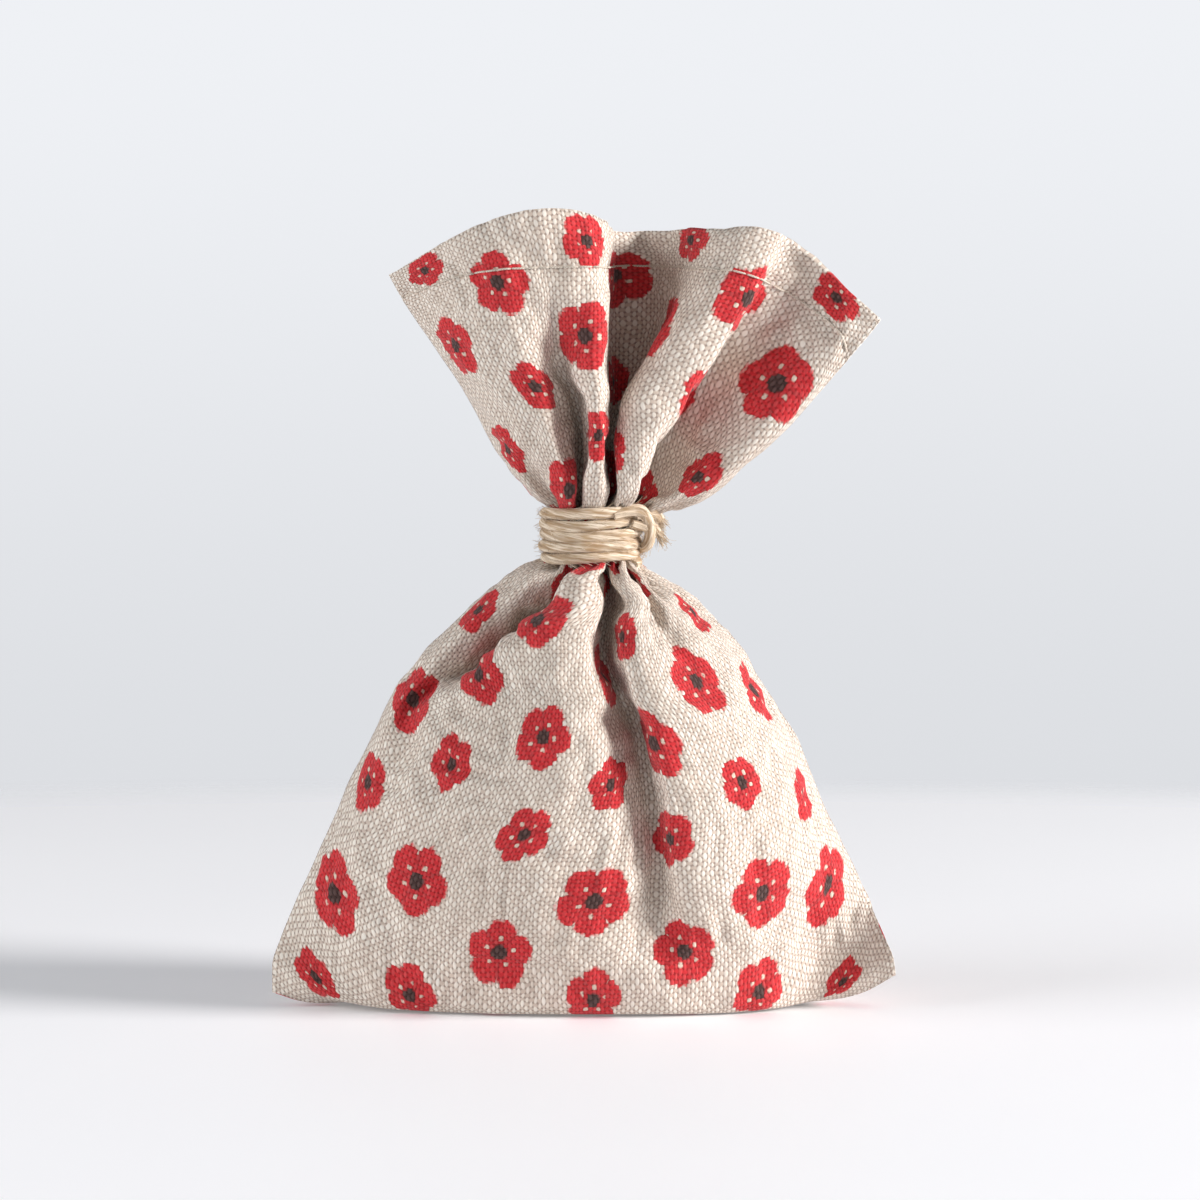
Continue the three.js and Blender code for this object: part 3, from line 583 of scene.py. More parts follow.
def settleBag(start, rest, faces, indexes, rises):
    unit = settle["unit"]
    mesh = bpy.data.meshes.new("bag")
    mesh.from_pydata((start * unit).tolist(), [], faces)
    bag = linked("bag", mesh)
    bag.shape_key_add(name="folded")
    flat = bag.shape_key_add(name="flat")
    flat.data.foreach_set("co", (rest * unit).ravel())
    hold = bag.vertex_groups.new(name="hold")
    atSeam = settle["hold"]["seam"]
    for row, rise in enumerate(rises):
        strength = holdAt(rise)
        ids = np.unique(np.concatenate([index[row] for index in indexes]))
        hold.add(ids.tolist(), strength, "REPLACE")
        if strength < atSeam:
            hold.add([int(indexes[0][row, edge]) for edge in (0, -1)], atSeam, "REPLACE")
    ground = linked("ground", squareMesh("ground", settle["ground"]))
    ground.modifiers.new("collide", "COLLISION")
    ground.collision.thickness_outer = settle["groundSkin"]
    modifier = bag.modifiers.new("cloth", "CLOTH")
    for name, value in settle["make"].items():
        setattr(modifier.settings, name, value)
    modifier.settings.rest_shape_key = flat
    modifier.settings.effector_weights.gravity = settle["gravity"]
    for name, value in settle["touch"].items():
        setattr(modifier.collision_settings, name, value)
    modifier.point_cache.frame_end = settle["frames"]
    for step in range(1, settle["frames"] + 1):
        scene.frame_set(step)
    settled = bag.evaluated_get(bpy.context.evaluated_depsgraph_get()).data
    spots = np.empty(len(settled.vertices) * 3)
    settled.vertices.foreach_get("co", spots)
    scene.frame_set(1)
    for thing in (bag, ground):
        data = thing.data
        bpy.data.objects.remove(thing)
        bpy.data.meshes.remove(data)
    return spots.reshape(-1, 3) / unit


def gridAt(grid, place, rise):
    # smooth point on a settled panel at flat places across and up
    def weights(values, low, step, count):
        share = np.clip((np.asarray(values, float) - low) / step, 0, count)
        cell = np.minimum(share.astype(int), count - 1)
        t = share - cell
        near = [np.clip(cell + k, 0, count) for k in (-1, 0, 1, 2)]
        curve = [(-t**3 + 2 * t**2 - t) / 2, (3 * t**3 - 5 * t**2 + 2) / 2,
                 (-3 * t**3 + 4 * t**2 + t) / 2, (t**3 - t**2) / 2]
        return near, curve
    m, n = grid.shape[0] - 1, grid.shape[1] - 1
    columns, across = weights(place, -half, cloth["width"] / n, n)
    rows, up = weights(rise, 0, cloth["height"] / m, m)
    total = 0
    for row, u in zip(rows, up):
        for column, a in zip(columns, across):
            total = total + grid[row, column] * (u * a)[..., None]
    return total


panel = {"step": 0.85, "normalStep": 0.4, "hemGap": (0.5, 0.4), "hemSpread": 1.3, "pucker": 0.16,
         "groove": 0.18, "waves": 2.1, "waveDrift": 1.5, "driftWaves": 0.37, "calmEdge": 4.0, "taper": 2.5,
         "thinnest": 0.1}
finePlaces = np.linspace(-half, half, round(cloth["width"] / panel["step"]) + 1)


def settledPanels():
    # the folds at full fineness, moved as the settled cloth moved
    start, rest, faces, indexes, rises = sewBag()
    fineRises = np.linspace(0, cloth["height"], round(cloth["height"] / panel["step"]) + 1)
    folded = foldedPanels(finePlaces, fineRises)
    settled = settleBag(start, rest, faces, indexes, rises)
    print("cloth settled: moved up to", round(float(np.abs(settled - start).max()), 1), "mm")
    across, up = np.meshgrid(finePlaces, fineRises)
    moved = [fold + gridAt((settled - start)[index], across, up) for fold, index in zip(folded, indexes)]
    return dict(zip(("front", "back"), moved))


grids = settledPanels()


def outwardAt(grid, place, rise, side):
    step = panel["normalStep"]
    place, rise = np.broadcast_arrays(np.asarray(place, float), np.asarray(rise, float))
    across = gridAt(grid, place + step, rise) - gridAt(grid, place - step, rise)
    up = gridAt(grid, place, rise + step) - gridAt(grid, place, rise - step)
    normal = np.cross(across, up)
    normal /= np.maximum(np.linalg.norm(normal, axis=-1, keepdims=True), 1e-9)
    return normal if side == "front" else -normal


# Canvas finish: a plain weave of cream warp over darker weft, with painted shade between the threads and
# red blossoms printed on it

# the gap colour is painted shade between the threads; the taupe weft is partly its own tone and partly
# painted shade where it lies lower
weave = {"warp": 0.767, "weft": 0.735, "wander": 1.2, "warpOval": (0.46, 0.76), "weftOval": (0.85, 0.5),
         "toneRun": 23.0, "depth": 0.13, "cream": colour(242, 235, 225), "dull": colour(221, 208, 195),
         "taupe": colour(204, 187, 173), "gap": colour(160, 142, 130), "wash": colour(192, 174, 158)}
# the colour multiplied into the ink between the threads is painted shade, and the pale colour blended on
# the thread crowns is a painted highlight
blossom = {"pitchAcross": 16.4, "pitchUp": 18.2, "small": 4.7, "large": 6.0, "shift": 3.0, "vary": 0.8,
           "petals": 5, "veins": 35.0, "soak": 0.55, "middle": (0.27, 0.21), "dotAt": 0.42,
           "dotSize": (0.085, 0.055), "red": colour(224, 30, 44), "deep": colour(170, 16, 30),
           "centre": colour(58, 28, 26), "dot": colour(238, 224, 204), "gapShade": colour(178, 150, 150),
           "full": (1.0, 1.0, 1.0, 1.0), "paintedHighlight": colour(248, 190, 184)}
printWidth = 2 * cloth["width"]


def makeCanvas():
    material, graph = newMaterial("printed_canvas")
    u, v, _ = graph.add("ShaderNodeUVMap", uv_map="cut").pieces()
    across = u * printWidth
    up = v * cloth["height"]

    def noise(wide, high, detail=2.0, out=0):
        return graph.noise(graph.point(across * wide, up * high), 1.0, detail, out, "2D")

    def chanceAt(x, y, out=0):
        inputs = {"Vector": graph.point(x, y)}
        return graph.add("ShaderNodeTexWhiteNoise", inputs, out, noise_dimensions="2D")

    def oval(x, y, size):
        return graph.span(x / size[0], y / size[1])

    # warp and weft: each thread shows as an oval where it passes over the other
    driftA, driftB, _ = noise(0.28, 0.28, out=1).pieces()
    warpAt = across / weave["warp"] + (driftA - 0.5) * weave["wander"]
    weftAt = up / weave["weft"] + (driftB - 0.5) * weave["wander"]
    column = warpAt.floor()
    row = (weftAt + 0.5).floor()
    du = warpAt - column - 0.5
    climb = weftAt + column % 2.0
    dv = climb % 2.0 - 1.0
    ovalTone = chanceAt(column + 0.3, (climb / 2.0).floor() + 0.3)
    warpOut = oval(du, dv, weave["warpOval"]) * (0.86 + ovalTone * 0.28)
    weftU = (warpAt - 0.5 - row % 2.0 + 1.0) % 2.0 - 1.0
    weftV = weftAt - row
    weftOut = oval(weftU, weftV, weave["weftOval"])
    warpTop, weftTop = [(1.0 - away ** 2.0).larger(0.0) for away in (warpOut, weftOut)]
    warpShown = warpOut.part(1.06, 0.66)
    weftShown = weftOut.part(1.06, 0.5)
    threadTone = chanceAt(column + 0.3, (up / weave["toneRun"]).floor() + 0.3)
    slub = noise(1.1, 0.12)
    wash = noise(0.05, 0.05)
    dulled = threadTone * 0.3 + slub.part(0.35, 0.75) * 0.3 + ovalTone * 0.4
    cream = graph.blend(dulled, weave["cream"], weave["dull"])
    # where no thread crown shows, the gap colour paints the shade between the threads
    ground = graph.blend(weftShown, weave["gap"], weave["taupe"])
    ground = graph.blend(warpShown, ground, cream)
    ground = graph.blend(wash.part(0.3, 0.8) * 0.15, ground, weave["wash"])
    # the ink takes on whole threads, so its edge steps along them
    inkA = across - du * (weave["warp"] * blossom["soak"])
    inkB = up - weftV * (weave["weft"] * blossom["soak"])
    cellA = (inkA / blossom["pitchAcross"]).floor()
    dropped = inkB / blossom["pitchUp"] + 0.5 * (cellA % 2.0)
    cellB = dropped.floor()
    chanceX, chanceY, chanceZ = chanceAt(cellA + 7.0, cellB + 3.0, out=1).pieces()
    x = inkA - (cellA + 0.5) * blossom["pitchAcross"] - (chanceX - 0.5) * blossom["shift"]
    y = (dropped - cellB - 0.5) * blossom["pitchUp"] - (chanceY - 0.5) * blossom["shift"]
    angle = graph.maths("ARCTAN2", y, x) + chanceZ * math.tau
    big = (cellA + cellB) % 2.0
    larger = blossom["large"] - blossom["small"]
    reach = blossom["small"] + big * larger + (chanceZ - 0.5) * blossom["vary"]
    out = graph.span(x, y) / reach
    petalTurn = angle * (blossom["petals"] / 2)
    petal = petalTurn.cosine().size()
    edge = 0.72 + 0.28 * petal ** 0.45 + (noise(0.8, 0.8, 1.0) - 0.5) * 0.16
    flower = (out - edge).part(0.04, -0.04)
    groove = petal.part(0.34, 0.0) * out.part(0.2, 0.5) * 0.55
    veins = (angle * blossom["veins"]).sine() * 0.5 + 0.5
    deeper = groove + veins * 0.12 + out.part(0.7, 0.15) * 0.3
    ink = graph.blend(deeper, blossom["red"], blossom["deep"])
    # a round dark middle, and one pale dot on each petal
    ink = graph.blend(out.part(*blossom["middle"]), ink, blossom["centre"])
    aside = (petalTurn / math.pi + 0.5) % 1.0 - 0.5
    dotOut = graph.span(out - blossom["dotAt"], aside * (out * (math.tau / blossom["petals"])))
    ink = graph.blend(dotOut.part(*blossom["dotSize"]), ink, blossom["dot"])
    # between the threads the ink is darker: painted shade in the gaps
    shade = graph.blend(warpShown * 0.6 + weftShown * 0.55, blossom["gapShade"], blossom["full"])
    inked = graph.blend(1.0, ink, shade, "MULTIPLY")
    # a painted highlight on the crowns of the threads over the ink
    inked = graph.blend(warpTop * (0.03 + ovalTone * 0.04), inked, blossom["paintedHighlight"])
    base = graph.blend(flower * 0.97, ground, inked)
    height = warpTop.root().larger(weftTop.root() * 0.72) + noise(6.0, 6.0) * 0.3
    finishMaterial(graph, {"Base Color": base, "Roughness": 0.92 - flower * 0.06,
                           "Normal": graph.bump(height, 1.0, weave["depth"]), "Sheen Weight": 0.12,
                           "Sheen Roughness": 0.5, "Specular IOR Level": 0.25})
    return material


def makePanel(side, material):
    grid = grids[side]
    hemLine = cloth["height"] - cloth["hem"]
    below, above = panel["hemGap"]
    plain = np.linspace(0, hemLine - below, round(hemLine / panel["step"]) + 1)
    folded = np.linspace(hemLine + above, cloth["height"], round(cloth["hem"] / panel["step"]) + 1)
    across, up = np.meshgrid(finePlaces, np.concatenate([plain, folded]))
    toEdge = half - np.abs(across)
    # the stitches draw the cloth in along the hem, with small puckers between them
    nearHem = np.exp(-((up - hemLine) / panel["hemSpread"]) ** 2)
    waves = np.sin(across * panel["waves"] + panel["waveDrift"] * np.sin(across * panel["driftWaves"]))
    swell = panel["pucker"] * waves * nearHem - panel["groove"] * nearHem
    swell *= np.clip(toEdge / panel["calmEdge"], 0, 1)
    points = (gridAt(grid, across, up) + outwardAt(grid, across, up, side) * swell[..., None]) * mm
    faces = gridFaces(np.arange(across.size).reshape(across.shape), 1 if side == "front" else -1)
    made = meshObject(f"{side}_panel", points.reshape(-1, 3), faces, material)
    mesh = made.data
    corners = np.empty(len(mesh.loops), int)
    mesh.loops.foreach_get("vertex_index", corners)
    shift = half if side == "front" else half + cloth["width"]
    cut = np.stack([(across.ravel() + shift) / printWidth, up.ravel() / cloth["height"]], axis=1)
    mesh.uv_layers.new(name="cut").data.foreach_set("uv", cut[corners].ravel())
    # two layers at the hem, one below it, thinner towards the seams
    doubled = made.vertex_groups.new(name="layers")
    layers = np.where(up > hemLine, 1.0, 0.5)
    for distance in (toEdge, up):
        layers = layers * np.clip(distance / panel["taper"], panel["thinnest"], 1)
    for i, share in enumerate(layers.ravel()):
        doubled.add([i], float(share), "REPLACE")
    thick = made.modifiers.new("thickness", "SOLIDIFY")
    thick.thickness = 2 * cloth["thick"] * mm
    thick.offset = -1
    thick.vertex_group = "layers"
    made.data = finalMesh(made)
    made.modifiers.clear()
    return made


canvas = makeCanvas()
panels = {side: makePanel(side, canvas) for side in ("front", "back")}
for piece in panels.values():
    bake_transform(piece)
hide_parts("front_panel_sack", "front_panel_head", "neck_gathers")
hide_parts("back_panel_sack", "back_panel_head", "throat_gathers")
print("panels made:", [len(piece.data.polygons) for piece in panels.values()], "faces")

# Geometry trees


class GeometryGraph(Graph):
    def chance(self, low, high, seed):
        # a random value for each point; a vector where the limits are vectors
        if isinstance(low, tuple):
            limits = {0: low, 1: high, "Seed": seed}
            return self.add("FunctionNodeRandomValue", limits, data_type="FLOAT_VECTOR")
        return self.add("FunctionNodeRandomValue", {2: low, 3: high, "Seed": seed}, 1, data_type="FLOAT")

    def store(self, geometry, name, value, kind="FLOAT"):
        inputs = {"Geometry": geometry, "Name": name, "Value": value}
        return self.add("GeometryNodeStoreNamedAttribute", inputs, data_type=kind, domain="POINT")

    def spots(self, mesh, density, seed):
        inputs = {"Mesh": mesh, "Density": density, "Seed": seed}
        return self.add("GeometryNodeDistributePointsOnFaces", inputs)

    def scatter(self, spots, shape, turn, grow):
        inputs = {"Points": spots, "Instance": shape, "Rotation": turn, "Scale": grow}
        placed = self.add("GeometryNodeInstanceOnPoints", inputs)
        return self.add("GeometryNodeRealizeInstances", {0: placed})

    def join(self, first, second):
        both = self.add("GeometryNodeJoinGeometry", {0: first})
        self.tree.links.new(second.socket, both.socket.node.inputs[0])
        return both

    def smooth(self, geometry):
        return self.add("GeometryNodeSetShadeSmooth", {0: geometry})

    def sweep(self, curve, profile, **more):
        inputs = {"Curve": curve, "Profile Curve": profile, "Fill Caps": True, **more}
        return self.add("GeometryNodeCurveToMesh", inputs)

    def circle(self, sides, radius):
        inputs = {"Resolution": sides, "Radius": radius}
        return self.add("GeometryNodeCurvePrimitiveCircle", inputs, mode="RADIUS")

    def finish(self, geometry, material):
        done = self.add("GeometryNodeSetMaterial", {"Geometry": geometry, "Material": material})
        self.add("NodeGroupOutput", {0: done})
        return self.tree


def newTree(name, sockets):
    # a geometry tree with the usual geometry in and out, and the named inputs
    tree = bpy.data.node_groups.new(name, "GeometryNodeTree")
    tree.interface.new_socket("Geometry", in_out="INPUT", socket_type="NodeSocketGeometry")
    for label, kind in sockets.items():
        tree.interface.new_socket(label, in_out="INPUT", socket_type=f"NodeSocket{kind}")
    tree.interface.new_socket("Geometry", in_out="OUTPUT", socket_type="NodeSocketGeometry")
    graph = GeometryGraph(tree)
    entry = tree.nodes.new("NodeGroupInput")
    return graph, {socket.name: Wire(graph, socket) for socket in entry.outputs if socket.name}


def applyTree(made, tree, values):
    modifier = made.modifiers.new(tree.name, "NODES")
    modifier.node_group = tree
    for item in tree.interface.items_tree:
        if item.item_type == "SOCKET" and item.in_out == "INPUT" and item.name in values:
            modifier[item.identifier] = values[item.name]
    mesh = finalMesh(made)
    name, old = made.name, made.data
    bpy.data.objects.remove(made)
    if isinstance(old, bpy.types.Curve):
        bpy.data.curves.remove(old)
    return linked(name, mesh)


# Filling: dry buds that fill the sack up to a little below the tie

filling = {"low": 2.5, "high": 60.0, "levels": 30, "spokes": 96, "gap": 2.6, "foot": 3.0, "buds": 1500,
           "budSize": 1.5, "budShape": (0.6, 0.6, 1.0), "budGrow": (0.7, 1.2), "budTurn": 6.28, "seed": 4,
           "coverColumns": 225, "coverRows": 191, "window": 1.6, "windowAngle": 0.09}


def makeFillingFinish():
    material, graph = newMaterial("dry_buds")
    place = graph.place()
    grains = graph.add("ShaderNodeTexVoronoi", {"Vector": place, "Scale": 420.0}, 1)
    tone, _, _ = grains.pieces()
    base = graph.blend(tone, colour(112, 92, 110), colour(150, 132, 118))
    husk = graph.noise(place, 1500.0, 3.0)
    finishMaterial(graph, {"Base Color": base, "Roughness": 0.85 + tone * 0.1,
                           "Normal": graph.bump(husk, 0.6, 0.2)})
    return material


def budTree():
    kinds = {"Density": "Float", "Size": "Float", "Seed": "Int", "Material": "Material"}
    graph, given = newTree("buds", kinds)
    heap, seed = given["Geometry"], given["Seed"]
    spots = graph.spots(heap, given["Density"], seed)
    turn = graph.chance((0.0, 0.0, 0.0), (filling["budTurn"],) * 3, seed)
    grow = graph.chance(*filling["budGrow"], seed)
    ball = graph.add("GeometryNodeMeshIcoSphere", {"Radius": given["Size"], "Subdivisions": 2})
    bud = graph.add("GeometryNodeTransform", {"Geometry": ball, "Scale": filling["budShape"]})
    both = graph.join(heap, graph.scatter(spots, bud, turn, grow))
    return graph.finish(graph.smooth(both), given["Material"])


def makeFilling():
    # in each direction the heap stops short of the nearest cloth
    across, up = np.meshgrid(np.linspace(-half, half, filling["coverColumns"]),
                             np.linspace(0, cloth["tieLow"], filling["coverRows"]))
    cover = np.vstack([gridAt(grids[side], across, up).reshape(-1, 3) for side in grids])
    angles = np.linspace(0, math.tau, filling["spokes"], endpoint=False)
    heights = np.linspace(filling["low"], filling["high"], filling["levels"])
    reach = np.empty((len(heights), len(angles)))
    turned = np.arctan2(cover[:, 1], cover[:, 0])
    span = np.hypot(cover[:, 0], cover[:, 1])
    for i, height in enumerate(heights):
        near = np.abs(cover[:, 2] - height) < filling["window"]
        away = np.abs((turned[near][:, None] - angles + math.pi) % math.tau - math.pi)
        bound = np.where(away < filling["windowAngle"], span[near][:, None], np.inf).min(axis=0)
        reach[i] = np.where(np.isfinite(bound), bound, np.nanmin(bound))
    low = np.minimum(reach, np.minimum(np.roll(reach, 1, axis=1), np.roll(reach, -1, axis=1)))
    eased = sum(np.roll(low, k, axis=1) for k in (-1, 0, 1)) / 3
    eased = np.minimum(eased, low) - filling["gap"]
    eased[0] -= filling["foot"]
    rings = np.stack([eased * np.cos(angles), eased * np.sin(angles),
                      np.broadcast_to(heights[:, None], eased.shape)], axis=2)
    points = np.vstack([rings.reshape(-1, 3), [[0, 0, filling["low"]], [0, 0, filling["high"] + 1]]]) * mm
    index = np.arange(reach.size).reshape(reach.shape)
    beside = np.roll(index, -1, axis=1)
    sides = np.stack([index[:-1], beside[:-1], beside[1:], index[1:]], axis=2).reshape(-1, 4).tolist()
    bottom, top = len(points) - 2, len(points) - 1
    sides += [[bottom, int(b), int(a)] for a, b in zip(index[0], beside[0])]
    sides += [[top, int(a), int(b)] for a, b in zip(index[-1], beside[-1])]
    finish = makeFillingFinish()
    heap = meshObject("filling_buds", points, sides, finish)
    area = sum(face.area for face in heap.data.polygons)
    return applyTree(heap, budTree(), {"Density": filling["buds"] / area, "Size": filling["budSize"] * mm,
                                       "Seed": filling["seed"], "Material": finish})


buds = makeFilling()
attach(buds, "sack")
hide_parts("dry_filling")
print("filling made:", len(buds.data.polygons), "faces")

# Twine and thread: strands of twisted plies along paths, with loose fibres

fibre = {"start": (-0.0006, 0, -0.00008), "middle": (0.0006, 0.0001, 0.00006),
         "end": (0.0014, -0.00015, 0.0005), "radius": 0.000032, "swingLow": (-0.15, -0.35, -0.5),
         "swingHigh": (0.15, 0.1, 0.5), "grow": (0.4, 1.3)}
plies = 3


def strandTree():
    kinds = {"Radius": "Float", "Step": "Float", "Twist": "Float", "Lobes": "Float", "Sides": "Int",
             "Fibres": "Float", "Seed": "Int", "Material": "Material"}
    graph, given = newTree("strand", kinds)
    seed = given["Seed"]
    run = graph.add("GeometryNodeResampleCurve", {"Curve": given["Geometry"], "Length": given["Step"]},
                    mode="LENGTH")
    length = graph.add("GeometryNodeSplineParameter", out=1)
    run = graph.store(run, "along", length)
    run = graph.store(run, "way", graph.add("GeometryNodeInputTangent"), "FLOAT_VECTOR")
    run = graph.add("GeometryNodeSetCurveTilt", {"Curve": run, "Tilt": length * given["Twist"]})
    ring = graph.circle(given["Sides"], given["Radius"])
    factor = graph.add("GeometryNodeSplineParameter")
    lobe = 1.0 + given["Lobes"] * (factor * (plies * math.tau)).cosine()
    place = graph.add("GeometryNodeInputPosition")
    spread = graph.add("ShaderNodeVectorMath", {0: place, "Scale": lobe}, operation="SCALE")
    ring = graph.add("GeometryNodeSetPosition", {"Geometry": ring, "Position": spread})
    ring = graph.store(ring, "around", factor)
    body = graph.smooth(graph.sweep(run, ring, Scale=graph.add("GeometryNodeInputRadius")))
    # loose fibres lie along the strand and lift off it at one end
    spots = graph.spots(body, given["Fibres"], seed)
    stand = Wire(graph, spots.socket.node.outputs["Rotation"])
    way = graph.add("GeometryNodeInputNamedAttribute", {"Name": "way"}, data_type="FLOAT_VECTOR")
    lie = graph.add("FunctionNodeAlignRotationToVector", {"Rotation": stand, "Vector": way},
                    axis="X", pivot_axis="Z")
    swing = graph.chance(fibre["swingLow"], fibre["swingHigh"], seed)
    swing = graph.add("FunctionNodeEulerToRotation", {0: swing})
    lie = graph.add("FunctionNodeRotateRotation", {0: lie, 1: swing}, rotation_space="LOCAL")
    grow = graph.chance(*fibre["grow"], seed)
    bend = {"Resolution": 6, "Start": fibre["start"], "Middle": fibre["middle"], "End": fibre["end"]}
    hair = graph.add("GeometryNodeCurveQuadraticBezier", bend)
    hair = graph.sweep(hair, graph.circle(3, fibre["radius"]))
    both = graph.join(graph.scatter(spots, hair, lie, grow), body)
    return graph.finish(both, given["Material"])


strands = strandTree()


def pathObject(name, paths):
    # each path: rows of x, y, z in mm, or x, y, z, share of full thickness
    curve = bpy.data.curves.new(name, "CURVE")
    curve.dimensions = "3D"
    for path in paths:
        spline = curve.splines.new("POLY")
        spline.points.add(len(path) - 1)
        for point, row in zip(spline.points, path):
            point.co = (row[0] * mm, row[1] * mm, row[2] * mm, 1)
            point.radius = row[3] if len(row) > 3 else 1.0
    return linked(name, curve)


def strandPlace(graph):
    # length along a strand in mm, and share of the way round it
    along, wayRound = [graph.add("ShaderNodeAttribute", out="Fac", attribute_name=name)
                       for name in ("along", "around")]
    return along * 1000.0, wayRound


# the twine's groove colour is painted shade between the plies
twine = {"across": 1.95, "turns": 5.0, "pitch": 1.9, "reach": 7.85, "low": 76.1, "startAngle": -25.0,
         "twist": 32.0, "fibres": 1.3e6, "step": 0.45, "steps": 600, "lobes": 0.05, "sides": 16,
         "sway": ((0.16, 1.27, 1.0), (0.1, 2.9, 0.0)), "press": ((0.18, 0.61, 2.0),), "bulge": 0.25,
         "sink": 0.15, "turnSeed": 3, "knotSeed": 5,
         "pale": colour(240, 226, 206), "tan": colour(178, 150, 116), "patch": colour(190, 150, 104),
         "groove": colour(150, 118, 82)}


def makeTwineFinish():
    material, graph = newMaterial("straw_twine")
    along, wayRound = strandPlace(graph)
    turn = wayRound * math.tau
    streak = graph.noise(graph.point(along * 0.35, turn.cosine() * 3.5, turn.sine() * 3.5), 1.0, 4.0)
    patch = graph.noise(graph.place(), 160.0, 2.0)
    # painted shade in the grooves between the plies
    groove = (wayRound * (plies * math.tau)).cosine().part(-0.2, -0.95)
    tone = graph.blend(streak.part(0.32, 0.68), twine["tan"], twine["pale"])
    tone = graph.blend(patch.part(0.55, 0.75) * 0.45, tone, twine["patch"])
    tone = graph.blend(groove * 0.55, tone, twine["groove"])
    finishMaterial(graph, {"Base Color": tone, "Roughness": 0.8 + streak * 0.15,
                           "Normal": graph.bump(streak, 0.8, 0.16), "Sheen Weight": 0.1})
    return material


straw = makeTwineFinish()


def windingPath():
    # turns that lie side by side, a little uneven, and swell at the middle ones
    steps = np.linspace(0, 1, twine["steps"])
    turn = math.radians(twine["startAngle"]) + 2 * math.pi * twine["turns"] * steps

    def waver(waves):
        return sum(size * np.sin(turn * rate + phase) for size, rate, phase in waves)

    height = twine["low"] + twine["pitch"] * twine["turns"] * steps + waver(twine["sway"])
    swell = twine["bulge"] * np.sin(math.pi * steps)
    reach = twine["reach"] + waver(twine["press"]) + swell - twine["sink"]
    return np.stack([reach * np.cos(turn), reach * np.sin(turn), height], axis=1)


def smoothPath(points, count=60):
    fine = smoothCurve(np.asarray(points, float))
    along = lengthAlong(fine[:, :3])
    return pointsAt(np.linspace(0, along[-1], count), along, fine)


def knotPath(*rows):
    # each row: angle round the neck, distance, height and, where it differs, share of full thickness
    points = []
    for angle, reach, height, thick in ((*row, 1.0)[:4] for row in rows):
        turn = math.radians(angle)
        points.append((reach * math.cos(turn), reach * math.sin(turn), height, thick))
    return smoothPath(points)


knotRows = {
    "hitch": ((-62, 8.4, 84.9, 0.8), (-45, 9.0, 85.6), (-33, 10.2, 85.7), (-24, 10.7, 84.0),
              (-19, 10.8, 81.6), (-16, 10.2, 79.6), (-10, 8.6, 78.6, 0.8)),
    "tailOne": ((-38, 8.8, 83.4, 0.8), (-27, 9.6, 83.0), (-18, 10.9, 82.6), (-15, 11.8, 81.6, 0.9)),
    "tailTwo": ((-34, 9.2, 84.6, 0.8), (-21, 10.2, 85.0), (-12, 11.4, 84.6), (-9, 12.0, 83.8, 0.9)),
}
cutEnds = {
    "tailOne": {"count": 26, "length": 2.2, "seed": 11},
    "tailTwo": {"count": 18, "length": 1.4, "seed": 12},
}
fray = {"ring": 0.34, "ringShare": (0.2, 1.9), "reach": (0.5, 1.1), "lean": (0.1, 0.55),
        "drop": (0, 0, -0.35), "dropShare": (0, 1.6), "root": 1.2, "middle": 0.45,
        "thick": (0.16, 0.13, 0.06), "points": 7}


def frayedEnd(tail, count, length, seed):
    # fibres that spread from the cut end of a tail
    chance = np.random.default_rng(seed)
    tip = tail[-1, :3]
    way = tip - tail[-6, :3]
    way = way / np.linalg.norm(way)
    fibres = []
    for _ in range(count):
        side = chance.normal(size=3)
        side -= way * side.dot(way)
        start = tip + fray["ring"] * side / np.linalg.norm(side) * chance.uniform(*fray["ringShare"])
        bend = way * length * chance.uniform(*fray["reach"]) + side * chance.uniform(*fray["lean"])
        drop = np.array(fray["drop"]) * chance.uniform(*fray["dropShare"])
        spots = (start - way * fray["root"], start + bend * fray["middle"], start + bend + drop)
        rows = [np.append(spot, thick) for spot, thick in zip(spots, fray["thick"])]
        fibres.append(smoothPath(rows, fray["points"]))
    return fibres


def makeTwine():
    strand = {"Radius": twine["across"] / 2 * mm, "Step": twine["step"] * mm,
              "Twist": twine["twist"] * 2 * math.pi, "Lobes": twine["lobes"], "Sides": twine["sides"],
              "Fibres": twine["fibres"], "Material": straw}
    winding = pathObject("twine_turns", [windingPath()])
    turns = applyTree(winding, strands, {**strand, "Seed": twine["turnSeed"]})
    paths = {name: knotPath(*rows) for name, rows in knotRows.items()}
    ends = [end for name, kind in cutEnds.items() for end in frayedEnd(paths[name], **kind)]
    hitch = pathObject("twine_hitch", [*paths.values(), *ends])
    return turns, applyTree(hitch, strands, {**strand, "Seed": twine["knotSeed"]})


turns, knot = makeTwine()
for piece, node in ((turns, "twine_winding"), (knot, "twine_knot")):
    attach(piece, "sack")
    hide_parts(node)
print("twine made:", len(turns.data.polygons), "and", len(knot.data.polygons), "faces")

# Sewing thread

sewing = {"across": 0.34, "pitch": 2.6, "length": 2.25, "seamLength": 0.6, "rise": 0.07, "seamSunk": 0.3,
          "step": 0.3, "lobes": 0.04, "sides": 7, "plyTurns": 2.2, "edge": 1.0, "opposed": 0.3,
          "hemEnds": (2.0, 1.5), "bottomEnds": (2.0, 1.0), "sackEnds": (3.0, 2.0), "headEnds": (16.0, 1.0),
          "dark": colour(186, 172, 157), "light": colour(220, 210, 197)}


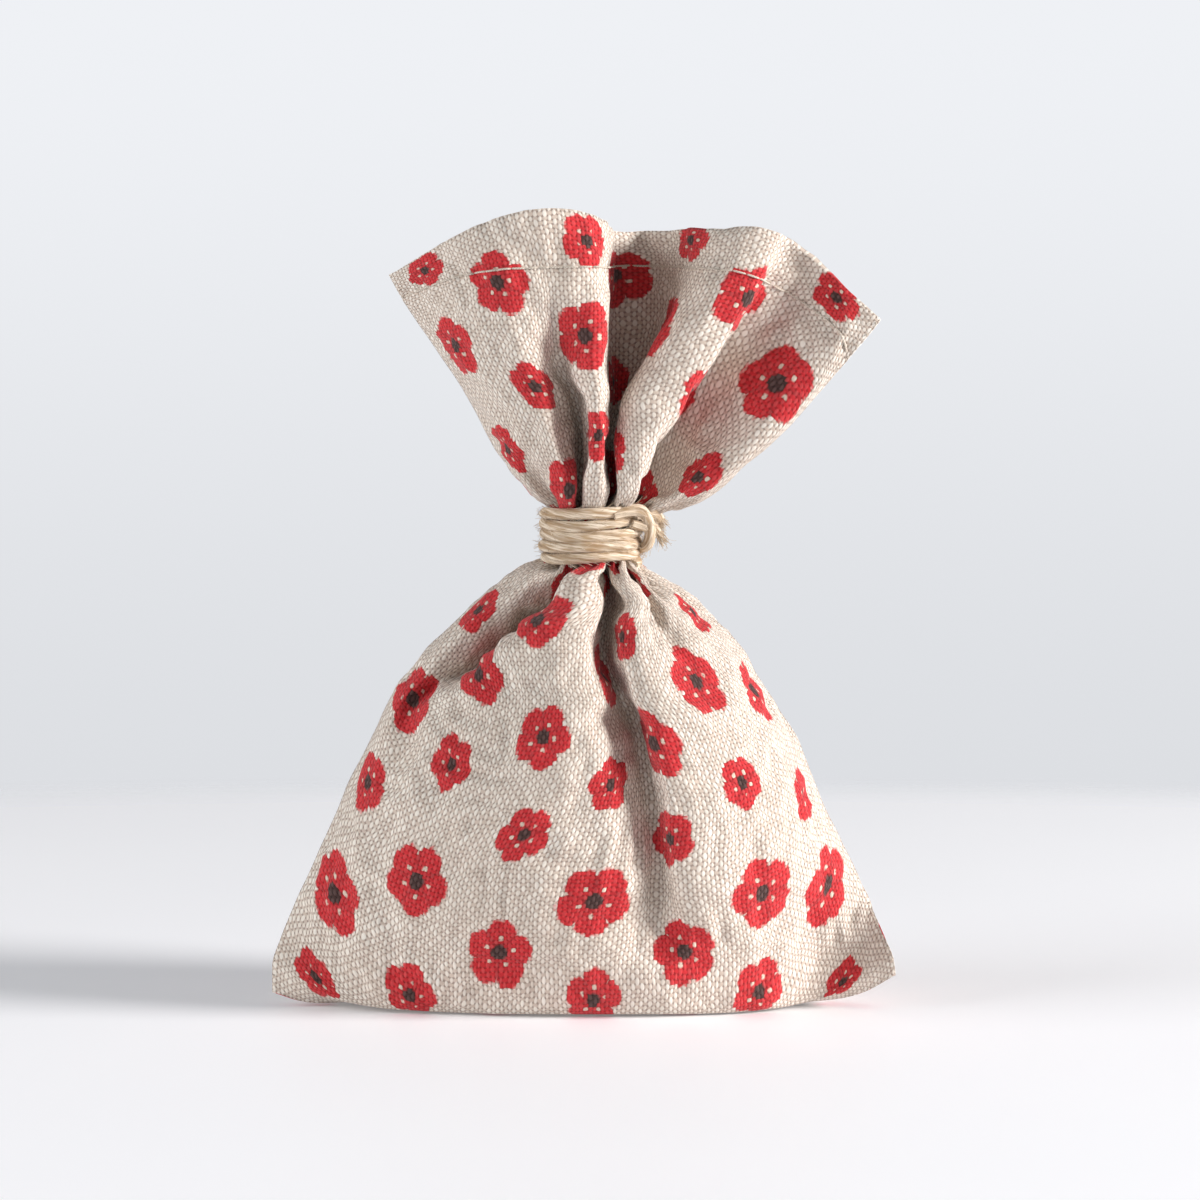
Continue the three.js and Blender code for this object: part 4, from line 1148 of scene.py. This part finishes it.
def makeThreadFinish():
    material, graph = newMaterial("cotton_thread")
    along, wayRound = strandPlace(graph)
    # the tone follows the twist: painted shade in the grooves between the plies, lighter on the plies
    ply = ((along * sewing["plyTurns"] + wayRound) * math.tau).sine() * 0.5 + 0.5
    tone = graph.blend(ply, sewing["dark"], sewing["light"])
    finishMaterial(graph, {"Base Color": tone, "Roughness": 0.75 + ply * 0.1,
                           "Normal": graph.bump(ply, 0.6, 0.05)})
    return material


cotton = makeThreadFinish()
bow = np.array([-1, -0.8, -0.35, 0.35, 0.8, 1]) / 2
bowRise = np.array([-0.35, 0.5, 1, 1, 0.5, -0.35])


def everyStitch(low, high, ends):
    return np.arange(low + ends[0], high - ends[1], sewing["pitch"])


def hemStitches(side):
    grid = grids[side]
    lift = bowRise * (sewing["rise"] + sewing["across"] / 2) - panel["groove"]
    paths = []
    for middle in everyStitch(-half, half, sewing["hemEnds"]):
        span = middle + bow * sewing["length"]
        level = np.full_like(span, cloth["height"] - cloth["hem"])
        paths.append(gridAt(grid, span, level) + outwardAt(grid, span, level, side) * lift[:, None])
    return paths


def seamStitches(places, rises):
    # short stitches that show across the seam between the two panels
    lift = bowRise * sewing["rise"] - sewing["seamSunk"]
    rim = sewing["edge"]
    paths = []
    for place, rise in zip(*np.broadcast_arrays(places, rises)):
        spot = gridAt(grids["front"], place, rise)
        inside = (np.clip(place, rim - half, half - rim), np.clip(rise, rim, cloth["height"] - rim))
        normals = [outwardAt(grids[side], *inside, side) for side in ("front", "back")]
        outward = normals[0] + normals[1]
        length = np.linalg.norm(outward)
        aside = np.sign(place) if abs(place) > half - rim else 0.0
        down = -1.0 if rise < rim else 0.0
        outward = np.array([aside, 0, down]) if length < sewing["opposed"] else outward / length
        acrossSeam = normals[0] - outward * normals[0].dot(outward)
        acrossSeam /= max(np.linalg.norm(acrossSeam), 1e-6)
        paths.append(spot + acrossSeam * (bow * sewing["seamLength"])[:, None] + outward * lift[:, None])
    return paths


def makeStitches(name, paths, node, body):
    thread = {"Radius": sewing["across"] / 2 * mm, "Step": sewing["step"] * mm, "Twist": 0.0,
              "Lobes": sewing["lobes"], "Sides": sewing["sides"], "Fibres": 0.0, "Seed": 1,
              "Material": cotton}
    piece = applyTree(pathObject(name, paths), strands, thread)
    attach(piece, body)
    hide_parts(node)
    return piece


sackRises = everyStitch(0, cloth["tieLow"], sewing["sackEnds"])
headRises = everyStitch(cloth["tieHigh"], cloth["height"], sewing["headEnds"])
bottomPlaces = everyStitch(-half, half, sewing["bottomEnds"])
rows = [
    ("front_hem_stitches", hemStitches("front"), "front_hem_thread", "head"),
    ("back_hem_stitches", hemStitches("back"), "back_hem_thread", "head"),
    ("left_seam_stitches", seamStitches(-half, sackRises), "left_seam_thread", "sack"),
    ("right_seam_stitches", seamStitches(half, sackRises), "right_seam_thread", "sack"),
    ("bottom_seam_stitches", seamStitches(bottomPlaces, 0.0), "bottom_seam_thread", "sack"),
    ("left_head_stitches", seamStitches(-half, headRises), "left_head_seam_thread", "head"),
    ("right_head_stitches", seamStitches(half, headRises), "right_head_seam_thread", "head"),
]
stitched = [makeStitches(*row) for row in rows]
print("stitches made:", [len(piece.data.polygons) for piece in stitched], "faces")
